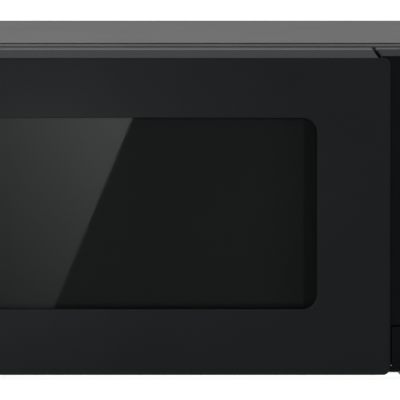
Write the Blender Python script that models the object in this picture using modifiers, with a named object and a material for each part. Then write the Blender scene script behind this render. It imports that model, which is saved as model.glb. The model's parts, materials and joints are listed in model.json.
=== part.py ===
"""Countertop microwave oven as an assembly of separate pieces.

Units are metres, +Z is up, the door faces -Y and the oven stands on z = 0.
The origin is the centre of the footprint.
"""
import math

import bmesh
import bpy
from mathutils import Matrix, Vector

# ---------------------------------------------------------------- overall size
WIDTH = 0.451
DEPTH = 0.342
HEIGHT = 0.258
HALF_WIDTH = WIDTH / 2
FRONT_Y = -DEPTH / 2
GAP = 0.0003                      # clearance between pieces that touch
SHEET = 0.0008                    # steel sheet of the cabinet and the cavity

# --------------------------------------------------------------------- chassis
FOOT_RADIUS = 0.0095
FOOT_TOP = 0.0084
FOOT_X = 0.1630
FOOT_FRONT_Y = -0.124
FOOT_REAR_Y = 0.135
BASE_LOW, BASE_HIGH = 0.0087, 0.0097
WRAP_FRONT_Y, WRAP_REAR_Y = -0.134, 0.1648
WRAP_LOW = 0.0103
WRAP_CORNER = 0.008
INNER_HALF_WIDTH = HALF_WIDTH - SHEET - GAP - 0.0001
PLATE_FRONT_Y = -0.137            # front face of the front plate
PLATE_BACK_Y = -0.136
PLATE_LOW, PLATE_HIGH = 0.0100, 0.2569
REAR_LOW, REAR_HIGH = 0.0103, 0.2568
REAR_FACE_Y = 0.1650
REAR_FLANGE_Y = 0.153
BASE_FRONT_Y, BASE_REAR_Y = -0.1355, 0.1635
BASE_FLANGE_HEIGHT = 0.0110
BASE_FLANGE_END = 0.016           # the flanges stop this far from the base's ends
RIM_ROLL = 0.003                  # radius of the front plate's rolled rim
RIM_REAR_Y = -0.1220
GLAND_X, GLAND_Z = 0.186, 0.034

# ---------------------------------------------------------------------- cavity
CAVITY_LEFT, CAVITY_RIGHT = -0.1848, 0.1052
CAVITY_LOW, CAVITY_HIGH = 0.030, 0.232
CAVITY_BACK_Y = 0.160
CAVITY_CORNER = 0.012
CAVITY_X = (CAVITY_LEFT + CAVITY_RIGHT) / 2
CAVITY_Y = 0.0115                 # centre of the turntable, front to back

# ------------------------------------------------------------------- turntable
ROLLER_RADIUS = 0.007
ROLLER_TRACK_RADIUS = 0.085
ROLLER_COUNT = 3
PLATE_RADIUS = 0.1275
PLATE_THICKNESS = 0.0045
ROLLER_HALF_WIDTH = 0.0030
RING_HALF_HEIGHT = 0.0030

# ------------------------------------------------------------------------ door
DOOR_LEFT = -HALF_WIDTH
DOOR_RIGHT_FRONT = 0.1459         # right edge of the front face, a lip over the panel's edge
DOOR_RIGHT_ROOT = 0.1378          # right edge just behind the lip
DOOR_RIGHT_CHAMFER = 0.1336       # right edge at the end of the sloping top edge
DOOR_RIGHT_BACK = 0.1330          # right edge behind the slanted flank
LIP_EDGE, LIP_THICKNESS = 0.0004, 0.0006
DOOR_LOW, DOOR_HIGH = 0.0042, 0.2549
DOOR_BACK_Y = -0.1405
DOOR_HINGE_SIDE_BACK_Y = -0.1450
DOOR_CORNER = 0.0035
CHAMFER_RISE = 0.0058             # height of the sloping top edge
TOP_FALL = 0.0005                 # fall of the door's top face towards that edge
CHAMFER_DEPTH = 0.0070
SLANT_DEPTH = 0.0100              # depth of the slanted flank
DOOR_WALL = 0.0026
WINDOW_LEFT, WINDOW_RIGHT = -0.1689, 0.0893
WINDOW_LOW, WINDOW_HIGH = 0.0563, 0.2026
WINDOW_CORNER = 0.0115
FRAME_LEFT, FRAME_RIGHT = -0.2095, 0.1210
FRAME_LOW, FRAME_HIGH = 0.0120, 0.2480
FRAME_FRONT_Y, FRAME_BACK_Y = -0.1600, -0.1400
FRAME_WALL = 0.0012
SIGHT_LEFT, SIGHT_RIGHT = -0.1635, 0.0835
SIGHT_LOW, SIGHT_HIGH = 0.0590, 0.2010
SIGHT_CORNER = 0.008
HINGE_X, HINGE_Y = -0.2135, -0.1515
HINGE_PIN_RADIUS = 0.0025
HINGE_BORE_RADIUS = 0.0028

# ----------------------------------------------------------------------- latch
HOOK_X = 0.1260
HOOK_THICKNESS = 0.005
HOOK_HEIGHTS = (0.072, 0.182)     # underside of each shank
HOOK_TIP_Y = -0.117
LEVER_AXIS_Y, LEVER_AXIS_Z = -0.1285, 0.0580
LEVER_AXLE_RADIUS = 0.003

# --------------------------------------------------------------- control panel
PANEL_FRONT_Y = -0.170
PANEL_LEFT_FRONT = 0.1390         # left edges, which follow the door's flank
PANEL_LEFT_CHAMFER = 0.1349
PANEL_LEFT_BACK = 0.1345
PANEL_RIGHT = HALF_WIDTH
PANEL_BACK_Y = -0.1374
PANEL_WALL = 0.0025
PANEL_LOW = 0.0057
PANEL_BOTTOM_CHAMFER = 0.0012
PANEL_RISE = 0.0050               # height of the panel's own sloping top edge
BUTTON_LEFT, BUTTON_RIGHT = 0.1469, 0.2222
BUTTON_LOW, BUTTON_HIGH = 0.0105, 0.0430
BUTTON_DEPTH = 0.010
POST_X, POST_Z = 0.153, 0.03125
POST_WIDTH, POST_HEIGHT = 0.006, 0.0025
DISPLAY_LEFT, DISPLAY_RIGHT = 0.157, 0.215
DISPLAY_LOW, DISPLAY_HIGH = 0.206, 0.232
KEY_COLUMNS = (0.1705, 0.2015)
KEY_ROWS = (0.186, 0.160, 0.134, 0.108)
KEY_WIDTH, KEY_HEIGHT = 0.024, 0.013
KEY_CORNER = 0.002
KEY_FRONT_Y, KEY_BACK_Y = -0.1706, -0.1622

CORNER_STEPS = 4                  # segments in a rounded corner
ROUND_STEPS = 32                  # segments round a turned piece

# -------------------------------------------------------- internal parts, low and high corners
WAVEGUIDE = ((0.1064, -0.016, 0.128), (0.1240, 0.056, 0.192))
MAGNETRON = ((0.1245, -0.020, 0.135), (0.1780, 0.060, 0.185))
MAGNETRON_FILTER = ((0.1775, -0.008, 0.143), (0.2050, 0.048, 0.177))
ANTENNA_Y, ANTENNA_Z = 0.020, 0.160
TRANSFORMER = ((0.1300, -0.0600, 0.0190), (0.2100, 0.0050, 0.0800))
TRANSFORMER_FEET = ((0.1220, -0.0580, 0.0100), (0.2180, 0.0030, 0.0200))
TRANSFORMER_PRIMARY = ((0.1440, -0.0740, 0.0290), (0.1960, 0.0190, 0.0480))
TRANSFORMER_SECONDARY = ((0.1440, -0.0720, 0.0510), (0.1960, 0.0170, 0.0700))
DIODE_CENTRE = (0.1560, 0.0255, 0.0600)
FAN_X, FAN_Y, FAN_Z = 0.165, 0.142, 0.182
FAN_RADIUS = 0.042
FAN_BLADES = 5
BLADE_PITCH = 58                  # degrees
SHROUD = ((0.1150, 0.1280, 0.1320), (0.2150, 0.1520, 0.2320))
FAN_MOTOR = ((0.1450, 0.0980, 0.1620), (0.1850, 0.1276, 0.2020))
FAN_WINDING = ((0.1350, 0.1030, 0.1700), (0.1460, 0.1230, 0.1940))
LAMP = ((0.1064, -0.0700, 0.2050), (0.1200, -0.0460, 0.2250))
FILTER_BOARD = ((0.1180, 0.0350, 0.2380), (0.1700, 0.1050, 0.2396))
CONTROL_BOARD = ((0.1510, -0.1580, 0.0560), (0.2200, -0.1564, 0.2380))
RELAY = ((0.1600, -0.1570, 0.0700), (0.1800, -0.1420, 0.0850))
BUZZER = ((0.1900, -0.1570, 0.0700), (0.2020, -0.1480, 0.0820))

# ------------------------------------------------------------------- materials
# name: (colour, roughness, metallic)
FINISHES = {
    "cabinet_paint": ((0.060, 0.060, 0.062), 0.42, 0.0),
    "plate_paint": ((0.045, 0.045, 0.047), 0.38, 0.0),
    "cavity_enamel": ((0.35, 0.35, 0.34), 0.35, 0.0),
    "galvanised_steel": ((0.52, 0.53, 0.54), 0.38, 1.0),
    "part_alloy": ((0.58, 0.59, 0.60), 0.34, 1.0),
    "black_plastic": ((0.018, 0.019, 0.020), 0.36, 0.0),
    "panel_plastic": ((0.008, 0.008, 0.009), 0.30, 0.0),
    "inner_plastic": ((0.030, 0.030, 0.032), 0.50, 0.0),
    "window_glass": ((0.010, 0.011, 0.012), 0.05, 0.0),
    "screen_steel": ((0.030, 0.031, 0.032), 0.45, 0.6),
    "clear_sheet": ((0.60, 0.62, 0.62), 0.10, 0.0),
    "plate_glass": ((0.70, 0.78, 0.76), 0.06, 0.0),
    "white_plastic": ((0.78, 0.78, 0.75), 0.45, 0.0),
    "grey_plastic": ((0.25, 0.25, 0.25), 0.50, 0.0),
    "rubber": ((0.020, 0.020, 0.020), 0.80, 0.0),
    "mica": ((0.62, 0.58, 0.50), 0.60, 0.0),
    "circuit_board": ((0.020, 0.16, 0.06), 0.40, 0.0),
    "spring_steel": ((0.45, 0.45, 0.46), 0.30, 1.0),
}


# --------------------------------------------------------------------- helpers
def reset_scene():
    """Remove every object and make the two collections."""
    for item in list(bpy.data.objects):
        bpy.data.objects.remove(item, do_unlink=True)
    for title in ("microwave_oven", "cutters"):
        group = bpy.data.collections.new(title)
        bpy.context.scene.collection.children.link(group)


def finish_material(finish):
    """Return the material of a named finish, made on first use."""
    found = bpy.data.materials.get(finish)
    if found:
        return found
    colour, roughness, metallic = FINISHES[finish]
    made = bpy.data.materials.new(finish)
    made.use_nodes = True
    shader = made.node_tree.nodes["Principled BSDF"]
    shader.inputs["Base Color"].default_value = (*colour, 1.0)
    shader.inputs["Roughness"].default_value = roughness
    shader.inputs["Metallic"].default_value = metallic
    return made


def add_object(name, data, finish):
    """Link a mesh or curve as a piece, or as a cutter when finish is None."""
    item = bpy.data.objects.new(name, data)
    if finish is None:
        bpy.data.collections["cutters"].objects.link(item)
        item.hide_render = True
        item.display_type = "WIRE"
        return item
    bpy.data.collections["microwave_oven"].objects.link(item)
    item.data.materials.append(finish_material(finish))
    return item


def mesh_from(bm, name):
    """Turn a bmesh into a mesh with its faces pointing out."""
    bmesh.ops.recalc_face_normals(bm, faces=bm.faces[:])
    mesh = bpy.data.meshes.new(name)
    bm.to_mesh(mesh)
    bm.free()
    return mesh


def smooth(item, angle=40):
    """Shade a mesh smooth, keeping edges sharper than the angle."""
    item.data.shade_smooth()
    item.data.set_sharp_from_angle(angle=math.radians(angle))
    return item


def box(name, low, high, finish=None, bevel=0.0):
    """Make a box between two corners, with its edges bevelled if asked."""
    bm = bmesh.new()
    bmesh.ops.create_cube(bm, size=1.0)
    size = Vector(high) - Vector(low)
    centre = (Vector(high) + Vector(low)) / 2
    bmesh.ops.scale(bm, vec=size, verts=bm.verts)
    item = add_object(name, mesh_from(bm, name), finish)
    item.location = centre
    if bevel:
        edge = item.modifiers.new("edges", "BEVEL")
        edge.width = bevel
        edge.segments = 2
    return item


def boxes(name, corners, finish=None):
    """Make several separate boxes in one mesh, used as one cutter."""
    bm = bmesh.new()
    for low, high in corners:
        size = Vector(high) - Vector(low)
        centre = (Vector(high) + Vector(low)) / 2
        place = Matrix.Translation(centre) @ Matrix.Diagonal((*size, 1.0))
        bmesh.ops.create_cube(bm, size=1.0, matrix=place)
    return add_object(name, mesh_from(bm, name), finish)


def turn_to(axis):
    """Rotation that carries +Z onto a named axis."""
    turns = {
        "X": Matrix.Rotation(math.radians(90), 4, "Y"),
        "Y": Matrix.Rotation(math.radians(-90), 4, "X"),
        "Z": Matrix.Identity(4),
    }
    return turns[axis]


def cylinder(name, centre, axis, radius, length, finish=None, sides=ROUND_STEPS):
    """Make a cylinder about its centre, along X, Y or Z."""
    bm = bmesh.new()
    bmesh.ops.create_cone(
        bm, cap_ends=True, segments=sides, radius1=radius, radius2=radius, depth=length)
    item = add_object(name, mesh_from(bm, name), finish)
    item.matrix_world = Matrix.Translation(centre) @ turn_to(axis)
    return smooth(item)


def turned(name, profile, centre, finish=None, axis="Z", steps=ROUND_STEPS):
    """Turn a profile of (radius, height) points, listed top to bottom."""
    bm = bmesh.new()
    points = [bm.verts.new((radius, 0.0, height)) for radius, height in profile]
    for first, second in zip(points, points[1:]):
        bm.edges.new((first, second))
    if profile[0][0] > 0.0:
        bm.edges.new((points[-1], points[0]))
    mesh = bpy.data.meshes.new(name)
    bm.to_mesh(mesh)
    bm.free()
    item = add_object(name, mesh, finish)
    item.matrix_world = Matrix.Translation(centre) @ turn_to(axis)
    screw = item.modifiers.new("turn", "SCREW")
    screw.steps = steps
    screw.render_steps = steps
    screw.use_merge_vertices = True
    screw.merge_threshold = 0.00001
    screw.use_smooth_shade = False
    return item


def outline(x_low, x_high, z_low, z_high, corner, y, steps=CORNER_STEPS):
    """Points of a rounded rectangle that stands in the XZ plane at y."""
    corners = corner if isinstance(corner, tuple) else (corner,) * 4
    centres = (
        (x_low, z_low, 1, 1), (x_high, z_low, -1, 1),
        (x_high, z_high, -1, -1), (x_low, z_high, 1, -1))
    points = []
    for index, (x, z, inward_x, inward_z) in enumerate(centres):
        radius = corners[index]
        for step in range(steps + 1):
            angle = math.radians(180 + 90 * index + 90 * step / steps)
            centre_x = x + inward_x * radius
            centre_z = z + inward_z * radius
            points.append(Vector((
                centre_x + radius * math.cos(angle), y, centre_z + radius * math.sin(angle))))
    return points


def loft(name, rings, finish=None):
    """Skin rings of equal point count into one closed body."""
    bm = bmesh.new()
    loops = [[bm.verts.new(point) for point in ring] for ring in rings]
    for near, far in zip(loops, loops[1:]):
        for index in range(len(near)):
            following = (index + 1) % len(near)
            bm.faces.new((near[index], near[following], far[following], far[index]))
    bm.faces.new(loops[0])
    bm.faces.new(loops[-1])
    bmesh.ops.remove_doubles(bm, verts=bm.verts[:], dist=0.000005)
    item = add_object(name, mesh_from(bm, name), finish)
    return smooth(item, 30)


def prism(name, x_low, x_high, z_low, z_high, y_low, y_high, corner, finish=None):
    """Make a rounded rectangle in the XZ plane with a depth along Y."""
    bm = bmesh.new()
    points = outline(x_low, x_high, z_low, z_high, corner, y_low)
    face = bm.faces.new([bm.verts.new(point) for point in points])
    extruded = bmesh.ops.extrude_face_region(bm, geom=[face])["geom"]
    raised = [item for item in extruded if isinstance(item, bmesh.types.BMVert)]
    bmesh.ops.translate(bm, vec=(0.0, y_high - y_low, 0.0), verts=raised)
    return smooth(add_object(name, mesh_from(bm, name), finish), 30)


def set_origin(item, point):
    """Move a piece's origin to a point without moving the piece."""
    place = Matrix.Translation(point)
    item.data.transform(place.inverted() @ item.matrix_basis)
    item.matrix_world = place
    return item


def combine(target, other, operation):
    """Join a hidden shape to a piece or cut it away."""
    step = target.modifiers.new(operation.lower(), "BOOLEAN")
    step.operation = operation
    step.solver = "EXACT"
    step.object = other
    return target


def cut(target, *cutters):
    """Cut each hidden shape away from a piece."""
    for cutter in cutters:
        combine(target, cutter, "DIFFERENCE")
    return target


def join(target, *others):
    """Join each hidden shape to a piece."""
    for other in others:
        combine(target, other, "UNION")
    return target


def tube(name, points, radius, finish, resolution=2):
    """Sweep a round wire along a polyline."""
    curve = bpy.data.curves.new(name, "CURVE")
    curve.dimensions = "3D"
    curve.bevel_depth = radius
    curve.bevel_resolution = resolution
    curve.use_fill_caps = True
    spline = curve.splines.new("POLY")
    spline.points.add(len(points) - 1)
    for slot, point in zip(spline.points, points):
        slot.co = (*point, 1.0)
    return add_object(name, curve, finish)


def coil(name, centre, axis, radius, wire, length, turns, finish, steps=10):
    """Wind a compression spring along an axis, starting at its centre point."""
    points = []
    total = int(turns * steps)
    for index in range(total + 1):
        angle = 2 * math.pi * index / steps
        height = wire + (length - 2 * wire) * index / total
        points.append((radius * math.cos(angle), radius * math.sin(angle), height))
    item = tube(name, points, wire, finish, resolution=1)
    item.matrix_world = Matrix.Translation(centre) @ turn_to(axis)
    return item


# --------------------------------------------------------------------- chassis
def make_base_plate():
    """Floor of the cabinet with two upturned flanges and a row of vents."""
    half = HALF_WIDTH - 0.0005
    thickness = 0.0012
    front, rear = BASE_FRONT_Y + BASE_FLANGE_END, BASE_REAR_Y - BASE_FLANGE_END
    base = box("base_plate", (-half, BASE_FRONT_Y, BASE_LOW), (half, BASE_REAR_Y, BASE_HIGH),
               "galvanised_steel")
    low, high = BASE_LOW + 0.0004, BASE_LOW + BASE_FLANGE_HEIGHT
    walls = []
    for side in (-1, 1):
        edges = sorted((side * INNER_HALF_WIDTH, side * (INNER_HALF_WIDTH - thickness)))
        walls.append(((edges[0], front, low), (edges[1], rear, high)))
    join(base, *[boxes(f"base_flange_{n}", [wall]) for n, wall in enumerate(walls)])
    slots = []
    for row in range(8):
        x = 0.128 + 0.011 * row
        slots.append(((x, 0.030, BASE_LOW - 0.002), (x + 0.0035, 0.100, BASE_HIGH + 0.002)))
    cut(base, boxes("base_vents", slots))


def make_feet():
    """Four rubber feet under the base plate."""
    places = {
        "foot_front_left": (-FOOT_X, FOOT_FRONT_Y), "foot_front_right": (FOOT_X, FOOT_FRONT_Y),
        "foot_rear_left": (-FOOT_X, FOOT_REAR_Y), "foot_rear_right": (FOOT_X, FOOT_REAR_Y)}
    profile = (
        (0.0, FOOT_TOP), (FOOT_RADIUS + 0.001, FOOT_TOP), (FOOT_RADIUS, 0.0012),
        (FOOT_RADIUS - 0.0012, 0.0), (0.0, 0.0))
    for name, (x, y) in places.items():
        turned(name, profile, (x, y, 0.0), "rubber", steps=24)


def make_front_plate():
    """Pressed front with a rolled rim, the cavity mouth and latch slots."""
    half = HALF_WIDTH - 0.0012
    roll = RIM_ROLL
    steps = 3
    stations = []
    for step in range(steps + 1):
        angle = math.radians(90 * step / steps)
        stations.append((roll * (1 - math.sin(angle)), PLATE_FRONT_Y + roll * (1 - math.cos(angle))))
    stations.append((0.0, RIM_REAR_Y))
    rings = []
    for inset, y in stations:
        corner = 0.009 - inset
        rings.append(outline(
            -half + inset, half - inset, PLATE_LOW + inset, PLATE_HIGH - inset, corner, y))
    plate = loft("front_plate", rings, "plate_paint")
    hollow = []
    for inset, y in ((0.0034, PLATE_BACK_Y), (0.0010, -0.1332), (0.0010, -0.1200)):
        hollow.append(outline(
            -half + inset, half - inset, PLATE_LOW + inset, PLATE_HIGH - inset, 0.008 - inset, y))
    behind = loft("front_plate_hollow", hollow)
    mouth = prism(
        "cavity_mouth", CAVITY_LEFT, CAVITY_RIGHT, CAVITY_LOW, CAVITY_HIGH,
        -0.150, -0.130, CAVITY_CORNER)
    holes = []
    for height in HOOK_HEIGHTS:
        holes.append(((0.1205, -0.150, height - 0.009), (0.1315, -0.130, height + 0.013)))
    holes.append(((0.1475, -0.150, 0.0250), (0.1585, -0.130, 0.0400)))
    holes.append(((0.160, -0.150, 0.1800), (0.210, -0.130, 0.2200)))
    cut(plate, behind, mouth, boxes("front_plate_holes", holes))


def make_cavity():
    """Enamelled box with the waveguide port and the turntable spindle hole."""
    skin = prism(
        "cavity_box", CAVITY_LEFT - SHEET, CAVITY_RIGHT + SHEET, CAVITY_LOW - SHEET,
        CAVITY_HIGH + SHEET, -0.1357, CAVITY_BACK_Y + SHEET, CAVITY_CORNER + SHEET, "cavity_enamel")
    inside = prism(
        "cavity_inside", CAVITY_LEFT, CAVITY_RIGHT, CAVITY_LOW, CAVITY_HIGH,
        -0.140, CAVITY_BACK_Y, CAVITY_CORNER)
    port = boxes("waveguide_port", [((CAVITY_RIGHT - 0.004, -0.010, 0.135), (0.112, 0.050, 0.185))])
    spindle = cylinder("spindle_hole", (CAVITY_X, CAVITY_Y, CAVITY_LOW), "Z", 0.006, 0.010, sides=24)
    cut(skin, inside, port, spindle)
    box("waveguide_cover", (CAVITY_RIGHT - 0.0010, -0.022, 0.122),
        (CAVITY_RIGHT - 0.0004, 0.062, 0.198), "mica")


def make_rear_panel():
    """Pressed rear panel with the fan intake, the outlet slots and the gland hole."""
    half = INNER_HALF_WIDTH
    wall = 0.001
    skin = prism(
        "rear_panel", -half, half, REAR_LOW, REAR_HIGH, REAR_FLANGE_Y, REAR_FACE_Y, 0.007,
        "galvanised_steel")
    inside = prism(
        "rear_hollow", -half + wall, half - wall, REAR_LOW + wall, REAR_HIGH - wall,
        REAR_FLANGE_Y - 0.002, REAR_FACE_Y - wall, 0.006)
    slots = []
    for row in range(9):
        low = 0.139 + 0.0105 * row
        slots.append(((0.125, 0.150, low), (0.205, 0.170, low + 0.0045)))
    for column in range(7):
        x = -0.190 + 0.014 * column
        slots.append(((x, 0.150, 0.070), (x + 0.0045, 0.170, 0.110)))
    gland = cylinder("gland_hole", (GLAND_X, REAR_FACE_Y, GLAND_Z), "Y", 0.0063, 0.010, sides=20)
    cut(skin, inside, boxes("rear_vents", slots), gland)
    profile = (
        (0.0, 0.0060), (0.0068, 0.0060), (0.0082, 0.0046), (0.0082, 0.0003), (0.0060, 0.0003),
        (0.0060, -0.0060), (0.0, -0.0060))
    turned("cord_gland", profile, (GLAND_X, REAR_FACE_Y, GLAND_Z), "inner_plastic", "Y", 20)


def make_cabinet_wrap():
    """Folded cover: two sides and the top in one sheet, with side vents."""
    points = []
    top_centre = HEIGHT - WRAP_CORNER
    side_centre = HALF_WIDTH - WRAP_CORNER
    points.append((HALF_WIDTH, WRAP_LOW))
    for step in range(CORNER_STEPS + 1):
        angle = math.radians(90 * step / CORNER_STEPS)
        points.append((
            side_centre + WRAP_CORNER * math.cos(angle), top_centre + WRAP_CORNER * math.sin(angle)))
    mirrored = [(-x, z) for x, z in reversed(points)]
    bm = bmesh.new()
    near = [bm.verts.new((x, WRAP_FRONT_Y, z)) for x, z in points + mirrored]
    far = [bm.verts.new((x, WRAP_REAR_Y, z)) for x, z in points + mirrored]
    for index in range(len(near) - 1):
        bm.faces.new((near[index], near[index + 1], far[index + 1], far[index]))
    mesh = bpy.data.meshes.new("cabinet_wrap")
    bmesh.ops.recalc_face_normals(bm, faces=bm.faces[:])
    if bm.faces[:][0].normal.x < 0:
        bmesh.ops.reverse_faces(bm, faces=bm.faces[:])
    bm.to_mesh(mesh)
    bm.free()
    wrap = smooth(add_object("cabinet_wrap", mesh, "cabinet_paint"), 40)
    shell = wrap.modifiers.new("sheet", "SOLIDIFY")
    shell.thickness = SHEET
    shell.offset = -1.0
    shell.use_even_offset = True
    slots = []
    for column in range(9):
        y = -0.030 + 0.010 * column
        for low in (0.060, 0.105):
            slots.append(((HALF_WIDTH - 0.006, y, low), (HALF_WIDTH + 0.004, y + 0.004, low + 0.034)))
    for column in range(9):
        y = 0.060 + 0.009 * column
        slots.append(((-HALF_WIDTH - 0.004, y, 0.170), (-HALF_WIDTH + 0.006, y + 0.0038, 0.204)))
    cut(wrap, boxes("wrap_vents", slots))


# ------------------------------------------------------------ microwave source
def make_waveguide():
    """Folded duct from the magnetron to the port in the cavity wall."""
    low, high = WAVEGUIDE
    wall = 0.0010
    duct = box("waveguide", low, high, "galvanised_steel")
    inner_low = [low[0] - 0.002, low[1] + wall, low[2] + wall]
    inner_high = [high[0] - wall, high[1] - wall, high[2] - wall]
    hollow = boxes("waveguide_hollow", [(inner_low, inner_high)])
    antenna = cylinder("antenna_hole", (high[0], ANTENNA_Y, ANTENNA_Z), "X", 0.010, 0.010, sides=24)
    cut(duct, hollow, antenna)


def make_magnetron():
    """Magnetron: finned body, antenna and filter box."""
    body = box("magnetron", *MAGNETRON, "part_alloy")
    antenna = cylinder("magnetron_antenna", (0.120, ANTENNA_Y, ANTENNA_Z), "X", 0.0075, 0.016, sides=20)
    filter_box = boxes("magnetron_filter", [MAGNETRON_FILTER])
    front, rear = MAGNETRON[0][1] - 0.002, MAGNETRON[1][1] + 0.002
    gap_height, fin_pitch = 0.006, 0.0070
    gaps = []
    for fin in range(6):
        x = MAGNETRON[0][0] + 0.0065 + fin_pitch * fin
        for low in (0.1390, 0.1750):
            gaps.append(((x, front, low), (x + fin_pitch / 2, rear, low + gap_height)))
    join(body, antenna, filter_box)
    cut(body, boxes("magnetron_air_gaps", gaps))


def make_high_voltage_parts():
    """Transformer, capacitor and diode of the high-voltage supply."""
    core = box("hv_transformer", *TRANSFORMER, "galvanised_steel", bevel=0.001)
    feet = boxes("transformer_feet", [TRANSFORMER_FEET])
    windings = boxes("transformer_windings", [TRANSFORMER_PRIMARY, TRANSFORMER_SECONDARY])
    join(core, feet, windings)
    can = prism("hv_capacitor", 0.1300, 0.1820, 0.0180, 0.0500, 0.0300, 0.1150, 0.0155,
                "part_alloy")
    strap = boxes("capacitor_strap", [((0.1240, 0.0640, 0.0100), (0.1880, 0.0780, 0.0190))])
    terminals = boxes("capacitor_terminals", [
        ((0.1430, 0.0220, 0.0310), (0.1450, 0.0310, 0.0370)),
        ((0.1670, 0.0220, 0.0310), (0.1690, 0.0310, 0.0370))])
    join(can, strap, terminals)
    cylinder("hv_diode", DIODE_CENTRE, "X", 0.0035, 0.018, "inner_plastic", 16)


# --------------------------------------------------------------------- cooling
def make_fan():
    """Shroud on the rear panel, motor in front of it and a bladed rotor."""
    shroud = box("fan_shroud", *SHROUD, "grey_plastic", bevel=0.002)
    left, front = SHROUD[0][0], SHROUD[0][1]
    right = SHROUD[1][0]
    bore = cylinder("shroud_bore", (FAN_X, 0.140, FAN_Z), "Y", FAN_RADIUS + 0.003, 0.040)
    spokes = boxes("shroud_spokes", [
        ((left, front, FAN_Z - 0.003), (right, front + 0.003, FAN_Z + 0.003))])
    ring = cylinder("shroud_boss", (FAN_X, front + 0.0015, FAN_Z), "Y", 0.016, 0.003, sides=24)
    shaft_hole = cylinder("shroud_shaft_hole", (FAN_X, 0.130, FAN_Z), "Y", 0.0035, 0.020, sides=16)
    cut(shroud, bore)
    join(shroud, spokes, ring)
    cut(shroud, shaft_hole)
    motor = box("fan_motor", *FAN_MOTOR, "galvanised_steel", bevel=0.0015)
    join(motor, boxes("fan_motor_winding", [FAN_WINDING]))
    hub = cylinder("fan_blade", (FAN_X, FAN_Y, FAN_Z), "Y", 0.011, 0.016, "white_plastic", 24)
    shaft = cylinder("fan_shaft", (FAN_X, FAN_Y - 0.0100, FAN_Z), "Y", 0.0025, 0.0070, sides=16)
    half_thickness, half_chord = 0.0007, 0.0110
    blades = []
    for number in range(FAN_BLADES):
        blade = boxes(f"blade_{number}", [
            ((0.0080, -half_thickness, -half_chord), (FAN_RADIUS, half_thickness, half_chord))])
        turn = Matrix.Rotation(2 * math.pi * number / FAN_BLADES, 4, "Z")
        pitch = Matrix.Rotation(math.radians(BLADE_PITCH), 4, "X")
        blade.matrix_world = Matrix.Translation((FAN_X, FAN_Y, FAN_Z)) @ turn_to("Y") @ turn @ pitch
        blades.append(blade)
    join(hub, shaft, *blades)


def make_small_electrics():
    """Lamp, thermal cut-out and mains filter board."""
    lamp = box("cavity_lamp", *LAMP, "white_plastic", bevel=0.001)
    bulb = cylinder("lamp_bulb", (0.1250, -0.0580, 0.2150), "X", 0.0070, 0.0140, sides=16)
    join(lamp, bulb)
    disc = cylinder("thermal_cutout", (0.0600, 0.0800, 0.2380), "Z", 0.0090, 0.0090, "inner_plastic", 24)
    ears = boxes("cutout_ears", [((0.0450, 0.0760, 0.2333), (0.0750, 0.0840, 0.2350))])
    join(disc, ears)
    board = box("noise_filter_board", *FILTER_BOARD, "circuit_board")
    parts = boxes("filter_parts", [((0.1240, 0.0420, 0.2390), (0.1440, 0.0640, 0.2510))])
    coil_body = boxes("filter_coil", [((0.1480, 0.0700, 0.2390), (0.1640, 0.0940, 0.2500))])
    join(board, parts, coil_body)


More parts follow.
